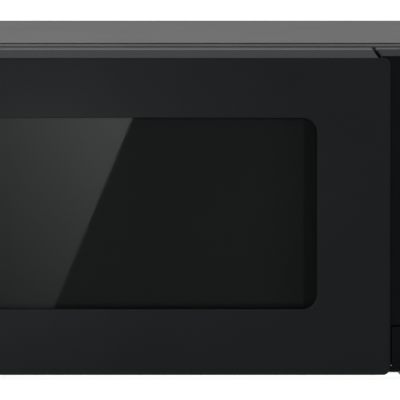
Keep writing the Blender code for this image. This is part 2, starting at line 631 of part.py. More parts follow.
# ------------------------------------------------------------------- turntable
def make_turntable():
    """Motor, coupler, roller ring with three rollers, and the glass plate."""
    floor = CAVITY_LOW + GAP
    track = floor + ROLLER_RADIUS
    motor = turned("turntable_motor", (
        (0.0, 0.0286), (0.0250, 0.0286), (0.0250, 0.0130), (0.0, 0.0130)),
        (CAVITY_X, CAVITY_Y, 0.0), "galvanised_steel")
    lug = boxes("motor_lug", [(
        (CAVITY_X - 0.0320, CAVITY_Y - 0.0060, 0.0268), (CAVITY_X + 0.0320, CAVITY_Y + 0.0060, 0.0280))])
    join(motor, lug)

    coupler = turned("turntable_coupler", (
        (0.0, 0.0438), (0.0110, 0.0438), (0.0120, 0.0420), (0.0120, 0.0322), (0.0042, 0.0322),
        (0.0042, 0.0290), (0.0, 0.0290)), (CAVITY_X, CAVITY_Y, 0.0), "white_plastic", steps=24)
    notches = []
    for number in range(ROLLER_COUNT):
        notch = boxes(f"coupler_notch_{number}", [((0.0065, -0.0030, 0.0360), (0.0140, 0.0030, 0.0450))])
        turn = Matrix.Rotation(2 * math.pi * number / ROLLER_COUNT + math.pi / 3, 4, "Z")
        notch.matrix_world = Matrix.Translation((CAVITY_X, CAVITY_Y, 0.0)) @ turn
        notches.append(notch)
    cut(coupler, *notches)

    inner, outer = ROLLER_TRACK_RADIUS - 0.0130, ROLLER_TRACK_RADIUS - 0.0055
    low, high = track - RING_HALF_HEIGHT, track + RING_HALF_HEIGHT
    ring = turned("roller_ring", ((outer, high), (outer, low), (inner, low), (inner, high)),
                  (CAVITY_X, CAVITY_Y, 0.0), "white_plastic", steps=48)
    for number in range(ROLLER_COUNT):
        angle = 2 * math.pi * number / ROLLER_COUNT + math.pi / 2
        heading = Matrix.Translation((CAVITY_X, CAVITY_Y, track)) @ Matrix.Rotation(angle, 4, "Z")
        axle = cylinder(f"ring_axle_{number}", (0, 0, 0), "X", 0.0018, 0.0150, sides=12)
        axle.matrix_world = heading @ Matrix.Translation((
            ROLLER_TRACK_RADIUS + 0.0005, 0, 0)) @ turn_to("X")
        join(ring, axle)
        roller = turned(f"roller_{number + 1}", (
            (ROLLER_RADIUS, ROLLER_HALF_WIDTH), (ROLLER_RADIUS, -ROLLER_HALF_WIDTH),
            (0.0021, -ROLLER_HALF_WIDTH), (0.0021, ROLLER_HALF_WIDTH)),
            (0, 0, 0), "white_plastic", steps=24)
        roller.matrix_world = heading @ Matrix.Translation((
            ROLLER_TRACK_RADIUS + 0.0010, 0, 0)) @ turn_to("X")

    under = track + ROLLER_RADIUS + GAP
    top = under + PLATE_THICKNESS
    turned("glass_plate", (
        (0.0, top), (PLATE_RADIUS - 0.0180, top), (PLATE_RADIUS - 0.0080, top + 0.0030),
        (PLATE_RADIUS - 0.0020, top + 0.0085), (PLATE_RADIUS, top + 0.0085),
        (PLATE_RADIUS, top + 0.0070), (PLATE_RADIUS - 0.0060, top - 0.0005),
        (PLATE_RADIUS - 0.0180, under), (0.0, under)),
        (CAVITY_X, CAVITY_Y, 0.0), "plate_glass", steps=64)


# ------------------------------------------------------------------------ door
def door_ring(y, inset=0.0, right=None, corner=DOOR_CORNER, front=False):
    """Outline of the door moulding at one depth."""
    edge = DOOR_RIGHT_BACK if right is None else right
    chamfer_end = FRONT_Y + CHAMFER_DEPTH
    fall = TOP_FALL * (DOOR_BACK_Y - max(y, chamfer_end)) / (DOOR_BACK_Y - chamfer_end)
    rise = fall + (CHAMFER_RISE if front else 0.0)
    side = 0.0030 if front else 0.0
    foot = 0.0003 if front else 0.0
    return outline(
        DOOR_LEFT + side + inset, edge - inset, DOOR_LOW + foot + inset, DOOR_HIGH - rise - inset,
        corner, y)


def make_door_panel():
    """Outer moulding: sloping top edge, right lip, slanted flank and window opening."""
    shell = loft("door_panel", [
        door_ring(FRONT_Y, LIP_EDGE, DOOR_RIGHT_FRONT, front=True),
        door_ring(FRONT_Y + LIP_EDGE, 0.0, DOOR_RIGHT_FRONT, front=True),
        door_ring(FRONT_Y + LIP_THICKNESS, 0.0, DOOR_RIGHT_ROOT, front=True),
        door_ring(FRONT_Y + CHAMFER_DEPTH, 0.0, DOOR_RIGHT_CHAMFER),
        door_ring(FRONT_Y + SLANT_DEPTH, 0.0),
        door_ring(DOOR_BACK_Y, 0.0)], "black_plastic")
    hollow = loft("door_hollow", [
        outline(DOOR_LEFT + 0.0050, DOOR_RIGHT_BACK - DOOR_WALL, DOOR_LOW + DOOR_WALL + 0.0008,
                DOOR_HIGH - 0.0072, 0.003, FRONT_Y + 0.0030),
        outline(DOOR_LEFT + DOOR_WALL, DOOR_RIGHT_BACK - DOOR_WALL, DOOR_LOW + DOOR_WALL,
                DOOR_HIGH - DOOR_WALL, 0.002, FRONT_Y + CHAMFER_DEPTH + 0.0020),
        outline(DOOR_LEFT + DOOR_WALL, DOOR_RIGHT_BACK - DOOR_WALL, DOOR_LOW + DOOR_WALL,
                DOOR_HIGH - DOOR_WALL, 0.002, DOOR_BACK_Y + 0.010)])
    bevel = 0.0010
    window = loft("window_opening", [
        outline(WINDOW_LEFT - 2 * bevel, WINDOW_RIGHT + 2 * bevel, WINDOW_LOW - 2 * bevel,
                WINDOW_HIGH + 2 * bevel, WINDOW_CORNER + 2 * bevel, FRONT_Y - bevel, 6),
        outline(WINDOW_LEFT, WINDOW_RIGHT, WINDOW_LOW, WINDOW_HIGH, WINDOW_CORNER,
                FRONT_Y + bevel, 6),
        outline(WINDOW_LEFT, WINDOW_RIGHT, WINDOW_LOW, WINDOW_HIGH, WINDOW_CORNER,
                FRONT_Y + 0.010, 6)])
    swing_relief = boxes("hinge_side_relief", [
        ((-0.240, DOOR_HINGE_SIDE_BACK_Y, 0.0), (-0.2065, -0.130, 0.270))])
    bracket_slots = boxes("bracket_slots", [
        ((-0.240, -0.1600, 0.2479), (-0.2200, -0.130, 0.2510)),
        ((-0.240, -0.1600, 0.0089), (-0.2200, -0.130, 0.0120))])
    cut(shell, hollow, window, swing_relief, bracket_slots)


def make_door_frame():
    """Steel frame with the choke channel, hinge sockets and a spring tab."""
    frame = prism("door_frame", FRAME_LEFT, FRAME_RIGHT, FRAME_LOW, FRAME_HIGH,
                  FRAME_FRONT_Y, FRAME_BACK_Y, 0.003, "galvanised_steel")
    sight = prism("sight_opening", SIGHT_LEFT, SIGHT_RIGHT, SIGHT_LOW, SIGHT_HIGH,
                  -0.170, -0.130, SIGHT_CORNER)
    channel = prism(
        "choke_channel", FRAME_LEFT + FRAME_WALL, FRAME_RIGHT - FRAME_WALL,
        FRAME_LOW + FRAME_WALL, FRAME_HIGH - FRAME_WALL, FRAME_FRONT_Y + FRAME_WALL, -0.130, 0.002)
    core = prism(
        "choke_core", SIGHT_LEFT - FRAME_WALL, SIGHT_RIGHT + FRAME_WALL, SIGHT_LOW - FRAME_WALL,
        SIGHT_HIGH + FRAME_WALL, FRAME_FRONT_Y, FRAME_BACK_Y, SIGHT_CORNER + FRAME_WALL)
    sockets = []
    bores = []
    for label, low, high in (("upper", 0.2300, 0.2478), ("lower", 0.0122, 0.0300)):
        middle = (low + high) / 2
        sockets.append(boxes(f"hinge_socket_{label}", [
            ((HINGE_X - 0.0045, HINGE_Y - 0.0045, low), (FRAME_LEFT + 0.0008, HINGE_Y + 0.0045, high))]))
        bores.append(cylinder(
            f"hinge_bore_{label}", (HINGE_X, HINGE_Y, middle), "Z", HINGE_BORE_RADIUS, 0.030, sides=24))
    tab = boxes("spring_tab", [((FRAME_RIGHT - 0.0010, -0.1560, 0.2250), (0.1300, -0.1440, 0.2262))])
    cut(frame, channel)
    join(frame, core)
    cut(frame, sight)
    join(frame, tab, *sockets)
    cut(frame, *bores)


def make_door_sheets():
    """Outer window, perforated screen, inner window and choke cover."""
    margin = 0.008
    prism("door_window", WINDOW_LEFT - margin, WINDOW_RIGHT + margin, WINDOW_LOW - margin,
          WINDOW_HIGH + margin, FRONT_Y + 0.0034, FRONT_Y + 0.0064, 0.006, "window_glass")
    prism("door_screen", WINDOW_LEFT - 0.004, WINDOW_RIGHT + 0.004, WINDOW_LOW - 0.006,
          WINDOW_HIGH + 0.006, -0.1612, -0.1604, 0.004, "screen_steel")
    prism("inner_window", SIGHT_LEFT + GAP, SIGHT_RIGHT - GAP, SIGHT_LOW + GAP, SIGHT_HIGH - GAP,
          -0.1425, -0.1410, SIGHT_CORNER - GAP, "clear_sheet")
    cover = prism("choke_cover", FRAME_LEFT, FRAME_RIGHT, FRAME_LOW, FRAME_HIGH,
                  -0.1396, -0.1381, 0.003, "grey_plastic")
    opening = prism("choke_cover_opening", SIGHT_LEFT, SIGHT_RIGHT, SIGHT_LOW, SIGHT_HIGH,
                    -0.150, -0.130, SIGHT_CORNER)
    cut(cover, opening)


def make_hinges():
    """Two hinge brackets, each a tongue from the front plate with its pin."""
    for label, low, pin_low, pin_high in (
            ("hinge_upper", 0.2485, 0.2330, 0.2490), ("hinge_lower", 0.0095, 0.0105, 0.0270)):
        tongue = box(label, (HINGE_X - 0.0045, HINGE_Y - 0.0045, low),
                     (HINGE_X + 0.0045, PLATE_FRONT_Y - GAP, low + 0.0015), "galvanised_steel")
        pin = cylinder(f"{label}_pin", (HINGE_X, HINGE_Y, (pin_low + pin_high) / 2), "Z",
                       HINGE_PIN_RADIUS, pin_high - pin_low, sides=24)
        join(tongue, pin)


def make_latch():
    """Hook bar with its spring, latch board, and three interlock switches."""
    half = HOOK_THICKNESS / 2
    bar = box("latch_hooks", (HOOK_X - half, -0.1530, 0.0600), (HOOK_X + half, -0.1450, 0.1985),
              "white_plastic")
    arms = []
    for number, height in enumerate(HOOK_HEIGHTS):
        arms.append(boxes(f"hook_shank_{number}", [(
            (HOOK_X - half, -0.1470, height), (HOOK_X + half, HOOK_TIP_Y, height + 0.0070))]))
        arms.append(boxes(f"hook_tooth_{number}", [(
            (HOOK_X - half, HOOK_TIP_Y - 0.0045, height - 0.0040),
            (HOOK_X + half, HOOK_TIP_Y, height + 0.0010))]))
    join(bar, *arms)
    coil("hook_spring", (HOOK_X, -0.1495, 0.1988), "Z", 0.0030, 0.0004, 0.0259, 9, "spring_steel")

    board = box("latch_board", (0.1340, -0.1355, 0.0400), (0.1362, -0.0980, 0.2100), "white_plastic")
    ledges = []
    for number, height in enumerate(HOOK_HEIGHTS):
        top = height - 0.0044
        foot = top - 0.0150
        ledges.append(boxes(f"ledge_post_{number}", [((0.1212, -0.1325, foot), (0.1258, -0.1222, top))]))
        ledges.append(boxes(f"ledge_bridge_{number}", [(
            (0.1212, -0.1325, foot - 0.0020), (0.1345, -0.1222, foot + 0.0010))]))
    join(board, *ledges)
    cut(board, cylinder("lever_bearing", (0.135, LEVER_AXIS_Y, LEVER_AXIS_Z), "X",
                        LEVER_AXLE_RADIUS + GAP, 0.010, sides=20))
    for name, low in (("switch_upper", 0.1650), ("switch_middle", 0.1200), ("switch_lower", 0.0800)):
        body = box(name, (0.1366, -0.1340, low), (0.1466, -0.1180, low + 0.0280), "inner_plastic",
                   bevel=0.0005)
        tabs = boxes(f"{name}_tabs", [
            ((0.1405, -0.1185, low + 0.0040), (0.1430, -0.1100, low + 0.0048)),
            ((0.1405, -0.1185, low + 0.0220), (0.1430, -0.1100, low + 0.0228))])
        join(body, tabs)


# --------------------------------------------------------------- control panel
def panel_ring(y, left, rise, drop, corner=0.003):
    """Outline of the control housing at one depth."""
    return outline(left, PANEL_RIGHT, PANEL_LOW + drop, DOOR_HIGH - rise, corner, y)


def make_control_housing():
    """Panel moulding with openings for the display, the keys and the button."""
    depth = CHAMFER_DEPTH - (PANEL_FRONT_Y - FRONT_Y)
    slope = (PANEL_LEFT_FRONT - PANEL_LEFT_CHAMFER) / depth
    bottom_left = PANEL_LEFT_FRONT - slope * PANEL_BOTTOM_CHAMFER
    rise_there = PANEL_RISE * (1 - PANEL_BOTTOM_CHAMFER / depth)
    housing = loft("control_housing", [
        panel_ring(PANEL_FRONT_Y, PANEL_LEFT_FRONT, PANEL_RISE, PANEL_BOTTOM_CHAMFER, 0.0015),
        panel_ring(PANEL_FRONT_Y + PANEL_BOTTOM_CHAMFER, bottom_left, rise_there, 0.0, 0.0015),
        panel_ring(PANEL_FRONT_Y + depth, PANEL_LEFT_CHAMFER, 0.0, 0.0, 0.0015),
        panel_ring(PANEL_FRONT_Y + SLANT_DEPTH, PANEL_LEFT_BACK, 0.0, 0.0, 0.0015),
        panel_ring(PANEL_BACK_Y, PANEL_LEFT_BACK, 0.0, 0.0, 0.0015)], "panel_plastic")
    hollow = loft("housing_hollow", [
        outline(PANEL_LEFT_FRONT + 0.0004, PANEL_RIGHT - PANEL_WALL, PANEL_LOW + 0.0032,
                DOOR_HIGH - 0.0072, 0.001, PANEL_FRONT_Y + PANEL_WALL),
        outline(PANEL_LEFT_BACK + PANEL_WALL, PANEL_RIGHT - 0.0020, PANEL_LOW + 0.0022,
                DOOR_HIGH - 0.0025, 0.001, PANEL_FRONT_Y + SLANT_DEPTH + 0.0020),
        outline(PANEL_LEFT_BACK + PANEL_WALL, PANEL_RIGHT - 0.0020, PANEL_LOW + 0.0022,
                DOOR_HIGH - 0.0025, 0.001, PANEL_BACK_Y + 0.010)])
    reach = (PANEL_FRONT_Y - 0.005, PANEL_FRONT_Y + 0.008)
    openings = [
        prism("display_opening", DISPLAY_LEFT - GAP, DISPLAY_RIGHT + GAP, DISPLAY_LOW - GAP,
              DISPLAY_HIGH + GAP, *reach, 0.0015 + GAP),
        boxes("button_opening", [(
            (BUTTON_LEFT - 0.0004, reach[0], BUTTON_LOW - 0.0004),
            (BUTTON_RIGHT + 0.0004, reach[1], BUTTON_HIGH + 0.0004))])]
    for row, z in enumerate(KEY_ROWS):
        for column, x in enumerate(KEY_COLUMNS):
            openings.append(prism(
                f"key_opening_{row}_{column}", x - KEY_WIDTH / 2 - GAP, x + KEY_WIDTH / 2 + GAP,
                z - KEY_HEIGHT / 2 - GAP, z + KEY_HEIGHT / 2 + GAP, *reach, KEY_CORNER + GAP))
    cut(housing, hollow, *openings)
    prism("display_window", DISPLAY_LEFT, DISPLAY_RIGHT, DISPLAY_LOW, DISPLAY_HIGH,
          PANEL_FRONT_Y - 0.0001, PANEL_FRONT_Y + 0.0020, 0.0015, "window_glass")


def make_keys():
    """Eight push keys in two columns, each with a retaining flange behind."""
    number = 0
    for z in KEY_ROWS:
        for x in KEY_COLUMNS:
            number += 1
            key = prism(f"key_{number}", x - KEY_WIDTH / 2, x + KEY_WIDTH / 2, z - KEY_HEIGHT / 2,
                        z + KEY_HEIGHT / 2, KEY_FRONT_Y, KEY_BACK_Y, KEY_CORNER, "panel_plastic")
            flange = prism(
                f"key_flange_{number}", x - KEY_WIDTH / 2 - 0.0012, x + KEY_WIDTH / 2 + 0.0012,
                z - KEY_HEIGHT / 2 - 0.0012, z + KEY_HEIGHT / 2 + 0.0012,
                PANEL_FRONT_Y + PANEL_WALL + GAP, PANEL_FRONT_Y + PANEL_WALL + 0.0015, 0.002)
            join(key, flange)
            set_origin(key, (x, KEY_FRONT_Y, z))


def make_control_board():
    """Circuit board with its display module, key switches, relay and buzzer."""
    board = box("control_board", *CONTROL_BOARD, "circuit_board")
    parts = [boxes("display_module", [(
        (DISPLAY_LEFT + 0.001, -0.1675, DISPLAY_LOW + 0.001),
        (DISPLAY_RIGHT - 0.001, -0.1575, DISPLAY_HIGH - 0.001))])]
    for row, z in enumerate(KEY_ROWS):
        for column, x in enumerate(KEY_COLUMNS):
            parts.append(boxes(f"key_switch_{row}_{column}", [(
                (x - 0.003, -0.1606, z - 0.003), (x + 0.003, -0.1575, z + 0.003))]))
    parts.append(boxes("relay", [RELAY]))
    parts.append(boxes("buzzer", [BUZZER]))
    join(board, *parts)


def make_door_button():
    """Wide door-open button with its push rod, return spring and release lever."""
    wall = 0.0022
    button = box("door_button", (BUTTON_LEFT, PANEL_FRONT_Y, BUTTON_LOW),
                 (BUTTON_RIGHT, PANEL_FRONT_Y + BUTTON_DEPTH, BUTTON_HIGH), "panel_plastic",
                 bevel=0.0006)
    hollow = boxes("button_hollow", [(
        (BUTTON_LEFT + wall, PANEL_FRONT_Y + wall, BUTTON_LOW + wall),
        (BUTTON_RIGHT - wall, PANEL_FRONT_Y + 0.020, BUTTON_HIGH - wall))])
    rod = boxes("button_rod", [(
        (POST_X - POST_WIDTH / 2, PANEL_FRONT_Y + 0.0010, POST_Z - POST_HEIGHT / 2),
        (POST_X + POST_WIDTH / 2, -0.1303, POST_Z + POST_HEIGHT / 2))])
    cut(button, hollow)
    join(button, rod)
    spring_y = PANEL_FRONT_Y + wall + GAP
    coil("button_spring", (0.1900, spring_y, 0.0270), "Y", 0.0040, 0.0005,
         PLATE_FRONT_Y - GAP - spring_y, 8, "spring_steel")

    left, right = 0.1264, 0.1555
    axle = cylinder("release_lever", ((left + right) / 2, LEVER_AXIS_Y, LEVER_AXIS_Z), "X",
                    LEVER_AXLE_RADIUS, right - left, "white_plastic", 16)
    push_arm = boxes("lever_push_arm", [(
        (0.1500, LEVER_AXIS_Y - 0.0015, 0.0290), (0.1550, LEVER_AXIS_Y + 0.0015, LEVER_AXIS_Z))])
    lift_arm = boxes("lever_lift_arm", [(
        (left, LEVER_AXIS_Y - 0.0010, LEVER_AXIS_Z - 0.0025), (0.1312, -0.1165, 0.0605))])
    lift_tip = boxes("lever_lift_tip", [((left, -0.1213, 0.0560), (0.1312, -0.1165, 0.0675))])
    join(axle, push_arm, lift_arm, lift_tip)


def hang_door():
    """Put the origin of everything that swings with the door on the hinge axis."""
    pivot = (HINGE_X, HINGE_Y, DOOR_LOW)
    for name in ("door_panel", "door_window", "door_frame", "door_screen", "inner_window",
                 "choke_cover", "hook_spring"):
        set_origin(bpy.data.objects[name], pivot)


def build():
    """Model every piece of the oven."""
    reset_scene()
    make_base_plate()
    make_feet()
    make_front_plate()
    make_cavity()
    make_rear_panel()
    make_cabinet_wrap()
    make_waveguide()
    make_magnetron()
    make_high_voltage_parts()
    make_fan()
    make_small_electrics()
    make_turntable()
    make_door_panel()
    make_door_frame()
    make_door_sheets()
    make_hinges()
    make_latch()
    make_control_housing()
    make_keys()
    make_control_board()
    make_door_button()
    hang_door()


build()
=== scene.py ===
"""Looks of the countertop microwave oven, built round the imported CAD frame.

Units are metres, +Z is up and the door faces -Y.
"""
import json
import math

import bmesh
import bpy
from mathutils import Matrix, Vector


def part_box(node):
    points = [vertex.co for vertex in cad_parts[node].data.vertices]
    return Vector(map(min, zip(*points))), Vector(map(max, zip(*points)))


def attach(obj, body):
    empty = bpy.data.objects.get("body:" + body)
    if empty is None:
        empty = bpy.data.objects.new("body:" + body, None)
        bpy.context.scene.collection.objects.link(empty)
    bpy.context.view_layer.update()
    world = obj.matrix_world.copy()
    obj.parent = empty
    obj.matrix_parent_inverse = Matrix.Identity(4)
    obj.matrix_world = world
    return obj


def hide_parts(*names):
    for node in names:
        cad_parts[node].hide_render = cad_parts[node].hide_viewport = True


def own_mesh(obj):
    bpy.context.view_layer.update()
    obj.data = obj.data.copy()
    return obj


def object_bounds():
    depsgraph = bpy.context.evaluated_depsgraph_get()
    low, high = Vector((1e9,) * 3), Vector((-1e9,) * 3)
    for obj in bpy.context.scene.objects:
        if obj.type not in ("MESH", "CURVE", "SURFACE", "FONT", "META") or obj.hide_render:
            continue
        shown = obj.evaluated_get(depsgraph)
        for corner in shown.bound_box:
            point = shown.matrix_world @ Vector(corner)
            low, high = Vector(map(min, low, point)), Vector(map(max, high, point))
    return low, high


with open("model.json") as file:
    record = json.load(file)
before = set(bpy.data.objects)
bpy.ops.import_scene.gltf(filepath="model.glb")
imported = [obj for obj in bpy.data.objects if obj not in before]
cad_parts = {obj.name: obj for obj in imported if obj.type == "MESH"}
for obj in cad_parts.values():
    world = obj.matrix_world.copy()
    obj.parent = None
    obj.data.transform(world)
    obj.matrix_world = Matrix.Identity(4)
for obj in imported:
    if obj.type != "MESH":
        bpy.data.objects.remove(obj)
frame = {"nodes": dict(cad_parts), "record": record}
CAD_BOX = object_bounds()
NODES = frame["nodes"]

# ---------------------------------------------------------------- camera, light
CAMERA_DISTANCE = 5.0             # from the front of the door
CAMERA_PITCH = 4.87               # degrees below the horizontal
VIEW_WIDTH = 0.3066               # width of the view at the front of the door
VIEW_HEIGHT_CENTRE = 0.1395       # height that the camera looks at
SENSOR_WIDTH = 36.0
GLARE_DISTANCE = 0.50             # from the window to the light card in front of it
GLARE_STRENGTH = 6.0
GLARE_EDGE_TOP, GLARE_EDGE_LOW = -0.0500, -0.1125   # its slanting edge, as seen in the window
GLARE_FAR_LEFT = -0.260
DARK_HALF, DARK_NEAR, DARK_FAR, DARK_TOP = 2.0, -0.174, -1.3, 0.55   # extent of the dark card
DARK_LIFT = 0.001                 # of its lying part above the floor
LIGHTS = (                        # name, place, point it is aimed at, size, power
    ("softbox_top", (-0.5, 0.15, 2.4), (0.0, 0.0, 0.1), 2.4, 52.0),
    ("softbox_left", (-1.1, -0.9, 0.75), (-0.1, -0.1, 0.12), 0.7, 7.0))
FLOOR_GLOW = 0.92
CARD_GLOW = 0.22                  # of the dark card that the upright faces mirror
WORLD_FRONT, WORLD_BACK, WORLD_TOP = 0.20, 0.60, 0.35
FLOOR_HALF = 60.0

# ------------------------------------------------------------------------- oven
FRONT_Y = CAD_BOX[0].y
HALF_WIDTH = CAD_BOX[1].x
CUT = 0.010                       # how far cutting shapes run past a face
SHEET = 0.0008                    # steel sheet of the cabinet and the cavity
CHAMFER_RISE, CHAMFER_DEPTH = 0.0058, 0.0070
TOP_FALL = 0.0005                 # fall of the door's top face towards its sloping edge
SLANT_DEPTH = 0.0100
DOOR_RIGHT_FRONT = 0.1459         # right edges: lip, root of the lip, slope's end, flank's end
DOOR_RIGHT_ROOT, DOOR_RIGHT_CHAMFER, DOOR_RIGHT_BACK = 0.1378, 0.1336, 0.1330
LIP_THICKNESS = 0.0006
HINGE_POCKET = ((-0.240, -0.1450, 0.0), (-0.2065, -0.130, 0.270))   # room for the door to turn
BRACKET_SLOTS = (
    ((-0.240, -0.1600, 0.2479), (-0.2200, -0.130, 0.2510)),
    ((-0.240, -0.1600, 0.0089), (-0.2200, -0.130, 0.0120)))
PANEL_FRONT_Y = -0.170
PANEL_LEFT_FRONT, PANEL_LEFT_CHAMFER, PANEL_LEFT_BACK = 0.1390, 0.1349, 0.1345
PANEL_RISE = 0.0050
BUTTON = (0.1469, 0.2222, 0.0105, 0.0430)   # left, right, low, high of the release button
BUTTON_ROD = (0.150, 0.156, 0.0300, 0.0325)
WINDOW_LEFT, WINDOW_RIGHT = -0.1689, 0.0893
WINDOW_LOW, WINDOW_HIGH = 0.0563, 0.2026
WINDOW_CORNER = 0.0115
BORDER_WIDTH = 0.0100             # of the black border along the right of the glass
OPENING_RIGHT, OPENING_LOW = WINDOW_RIGHT + 0.0005, WINDOW_LOW - 0.0012
SIGHT_LEFT, SIGHT_RIGHT = -0.1635, 0.0835
SIGHT_LOW, SIGHT_HIGH = 0.0590, 0.2010
HOOK_X, HOOK_HEIGHTS = 0.126, (0.072, 0.182)
ROD_SLOT, LOOM_SLOT = (0.153, 0.0325), (0.185, 0.200)   # X and Z of slots in the front plate
PORT = ((-0.010, 0.135), (0.050, 0.185))    # low and high Y and Z of the microwave port
LAMP_HOLES = (4, 5, -0.066, 0.209, 0.0040)  # rows, columns, first Y and Z, pitch
OUTLET_HOLES = (5, 8, 0.070, 0.172, 0.0070)
DIMPLE_XS = (-0.150, -0.095, -0.040, 0.015, 0.070)
VENT_LENGTH = 0.034
RIGHT_VENTS = (9, -0.028, 0.010, (0.077, 0.122), 0.0040)   # count, first Y, pitch, Zs, width
LEFT_VENTS = (9, 0.0619, 0.009, (0.187,), 0.0038)
INTAKE_SLOTS = [(0.165, 0.14125 + 0.0105 * row) for row in range(9)]
OUTLET_SLOTS = [(-0.18775 + 0.014 * column, 0.090) for column in range(7)]
REAR_RIBS = (                     # left, right, low, high
    (-0.205, 0.090, 0.205, 0.212), (-0.205, 0.090, 0.140, 0.147), (-0.080, 0.140, 0.045, 0.052))
REAR_SCREWS = [(x, z) for x in (-0.214, 0.214) for z in (0.022, 0.128, 0.244)]
REAR_SCREWS += [(-0.070, 0.244), (0.070, 0.244)]
GAP = 0.0003                      # round the keys, the display and the door's foot
FINE, COARSE = 10, 4              # segments in a rounded corner
EDGE = 0.0003                     # radius of the soft edges on carried-over nodes
MESH_PITCH, MESH_HOLE = 0.0034, 0.00118   # spacing and radius of the door screen's holes
KEY_COUNT = 8


# ------------------------------------------------------------------------ shapes
def rounded(left, right, low, high, corner, y, steps=FINE, right_corner=None):
    """Points of a rounded rectangle that stands in the XZ plane at y."""
    other = corner if right_corner is None else right_corner
    centres = (
        (left + corner, low + corner, corner), (right - other, low + other, other),
        (right - other, high - other, other), (left + corner, high - corner, corner))
    points = []
    for index, (x, z, radius) in enumerate(centres):
        for step in range(steps + 1):
            angle = math.radians(180 + 90 * index + 90 * step / steps)
            points.append(Vector((x + radius * math.cos(angle), y, z + radius * math.sin(angle))))
    return points


def ease(stations, radius, steps=4):
    """Round the inner corners of a run of stations, each a tuple of numbers."""
    eased = [stations[0]]
    for before, here, after in zip(stations, stations[1:], stations[2:]):
        ends = []
        for other in (before, after):
            share = min(radius / math.dist(here, other), 0.45)
            ends.append([a + (b - a) * share for a, b in zip(here, other)])
        for step in range(steps + 1):
            t = step / steps
            weights = ((1 - t) ** 2, 2 * t * (1 - t), t * t)
            eased.append(tuple(
                weights[0] * a + weights[1] * h + weights[2] * b
                for a, h, b in zip(ends[0], here, ends[1])))
    eased.append(stations[-1])
    return eased


def mesh_object(name, bm):
    """Make an object of a bmesh, with its faces pointing out."""
    bmesh.ops.remove_doubles(bm, verts=bm.verts[:], dist=0.000002)
    bmesh.ops.recalc_face_normals(bm, faces=bm.faces[:])
    mesh = bpy.data.meshes.new(name)
    bm.to_mesh(mesh)
    bm.free()
    item = bpy.data.objects.new(name, mesh)
    bpy.context.scene.collection.objects.link(item)
    return item


def skin_rings(bm, rings):
    """Skin rings of equal point count into a closed body in a bmesh."""
    loops = [[bm.verts.new(point) for point in ring] for ring in rings]
    for near, far in zip(loops, loops[1:]):
        for index in range(len(near)):
            following = (index + 1) % len(near)
            bm.faces.new((near[index], near[following], far[following], far[index]))
    bm.faces.new(loops[0])
    bm.faces.new(loops[-1])


def loft(name, stations, steps=FINE):
    """Closed body through rounded rectangles: (y, left, right, low, high, corner, right corner)."""
    bm = bmesh.new()
    skin_rings(bm, [
        rounded(*station[1:6], station[0], steps, *station[6:]) for station in stations])
    return mesh_object(name, bm)


def slab(name, left, right, low, high, front, back, corner, edge=0.0, steps=FINE):
    """Rounded rectangle with a depth along Y, its front edge rounded if asked."""
    stations = [(back, left, right, low, high, corner)]
    if edge:
        inset = edge * 3
        inner = (front, left + inset, right - inset, low + inset, high - inset,
                 max(corner - inset, corner * 0.3))
        outer = (front, left, right, low, high, corner)
        return loft(name, ease([inner, outer, stations[0]], edge), steps)
    return loft(name, [(front, left, right, low, high, corner), stations[0]], steps)


def blocks(name, corners):
    """Several separate boxes in one mesh."""
    bm = bmesh.new()
    for low, high in corners:
        size = Vector(high) - Vector(low)
        place = Matrix.Translation((Vector(high) + Vector(low)) / 2) @ Matrix.Diagonal((*size, 1.0))
        bmesh.ops.create_cube(bm, size=1.0, matrix=place)
    return mesh_object(name, bm)


def slots(name, centres, width, height, reach, axis="Y"):
    """Several round-ended slots through a wall that faces along Y or X."""
    bm = bmesh.new()
    corner = min(width, height) * 0.49
    for centre in centres:
        place = Matrix.Translation(centre)
        if axis == "X":
            place = place @ Matrix.Rotation(math.radians(90), 4, "Z")
        rings = []
        for y in (-reach, reach):
            ring = rounded(-width / 2, width / 2, -height / 2, height / 2, corner, y, 5)
            rings.append([place @ point for point in ring])
        skin_rings(bm, rings)
    return mesh_object(name, bm)


def turn_to(axis):
    """Rotation that carries +Z onto X, Y or Z."""
    turns = {
        "X": Matrix.Rotation(math.radians(90), 4, "Y"),
        "Y": Matrix.Rotation(math.radians(-90), 4, "X"),
        "Z": Matrix.Identity(4),
    }
    return turns[axis]


def spin(bm, profile, centre, axis="Z", steps=48):
    """Turn a profile of (radius, height) points about an axis into a bmesh."""
    place = Matrix.Translation(centre) @ turn_to(axis)
    loops = []
    for radius, height in profile:
        if radius < 0.00001:
            loops.append([bm.verts.new(place @ Vector((0.0, 0.0, height)))])
            continue
        ring = []
        for step in range(steps):
            angle = 2 * math.pi * step / steps
            ring.append(bm.verts.new(place @ Vector((
                radius * math.cos(angle), radius * math.sin(angle), height))))
        loops.append(ring)
    pairs = list(zip(loops, loops[1:]))
    if profile[0][0] > 0.00001:
        pairs.append((loops[-1], loops[0]))
    for near, far in pairs:
        for step in range(steps):
            following = (step + 1) % steps
            corners = [near[step % len(near)], near[following % len(near)],
                       far[following % len(far)], far[step % len(far)]]
            unique = list(dict.fromkeys(corners))
            if len(unique) > 2:
                bm.faces.new(unique)


def turned(name, profile, centre, axis="Z", steps=48, radius=0.0):
    """Turned piece, with the corners of its profile rounded if asked."""
    bm = bmesh.new()
    spin(bm, ease(profile, radius) if radius else profile, centre, axis, steps)
    return mesh_object(name, bm)


def drill(name, radius, centre, axis="Z", steps=48):
    """Round bar that cuts a hole through a sheet."""
    half = 0.005
    return turned(name, [(0.0, half), (radius, half), (radius, -half), (0.0, -half)],
                  centre, axis, steps)


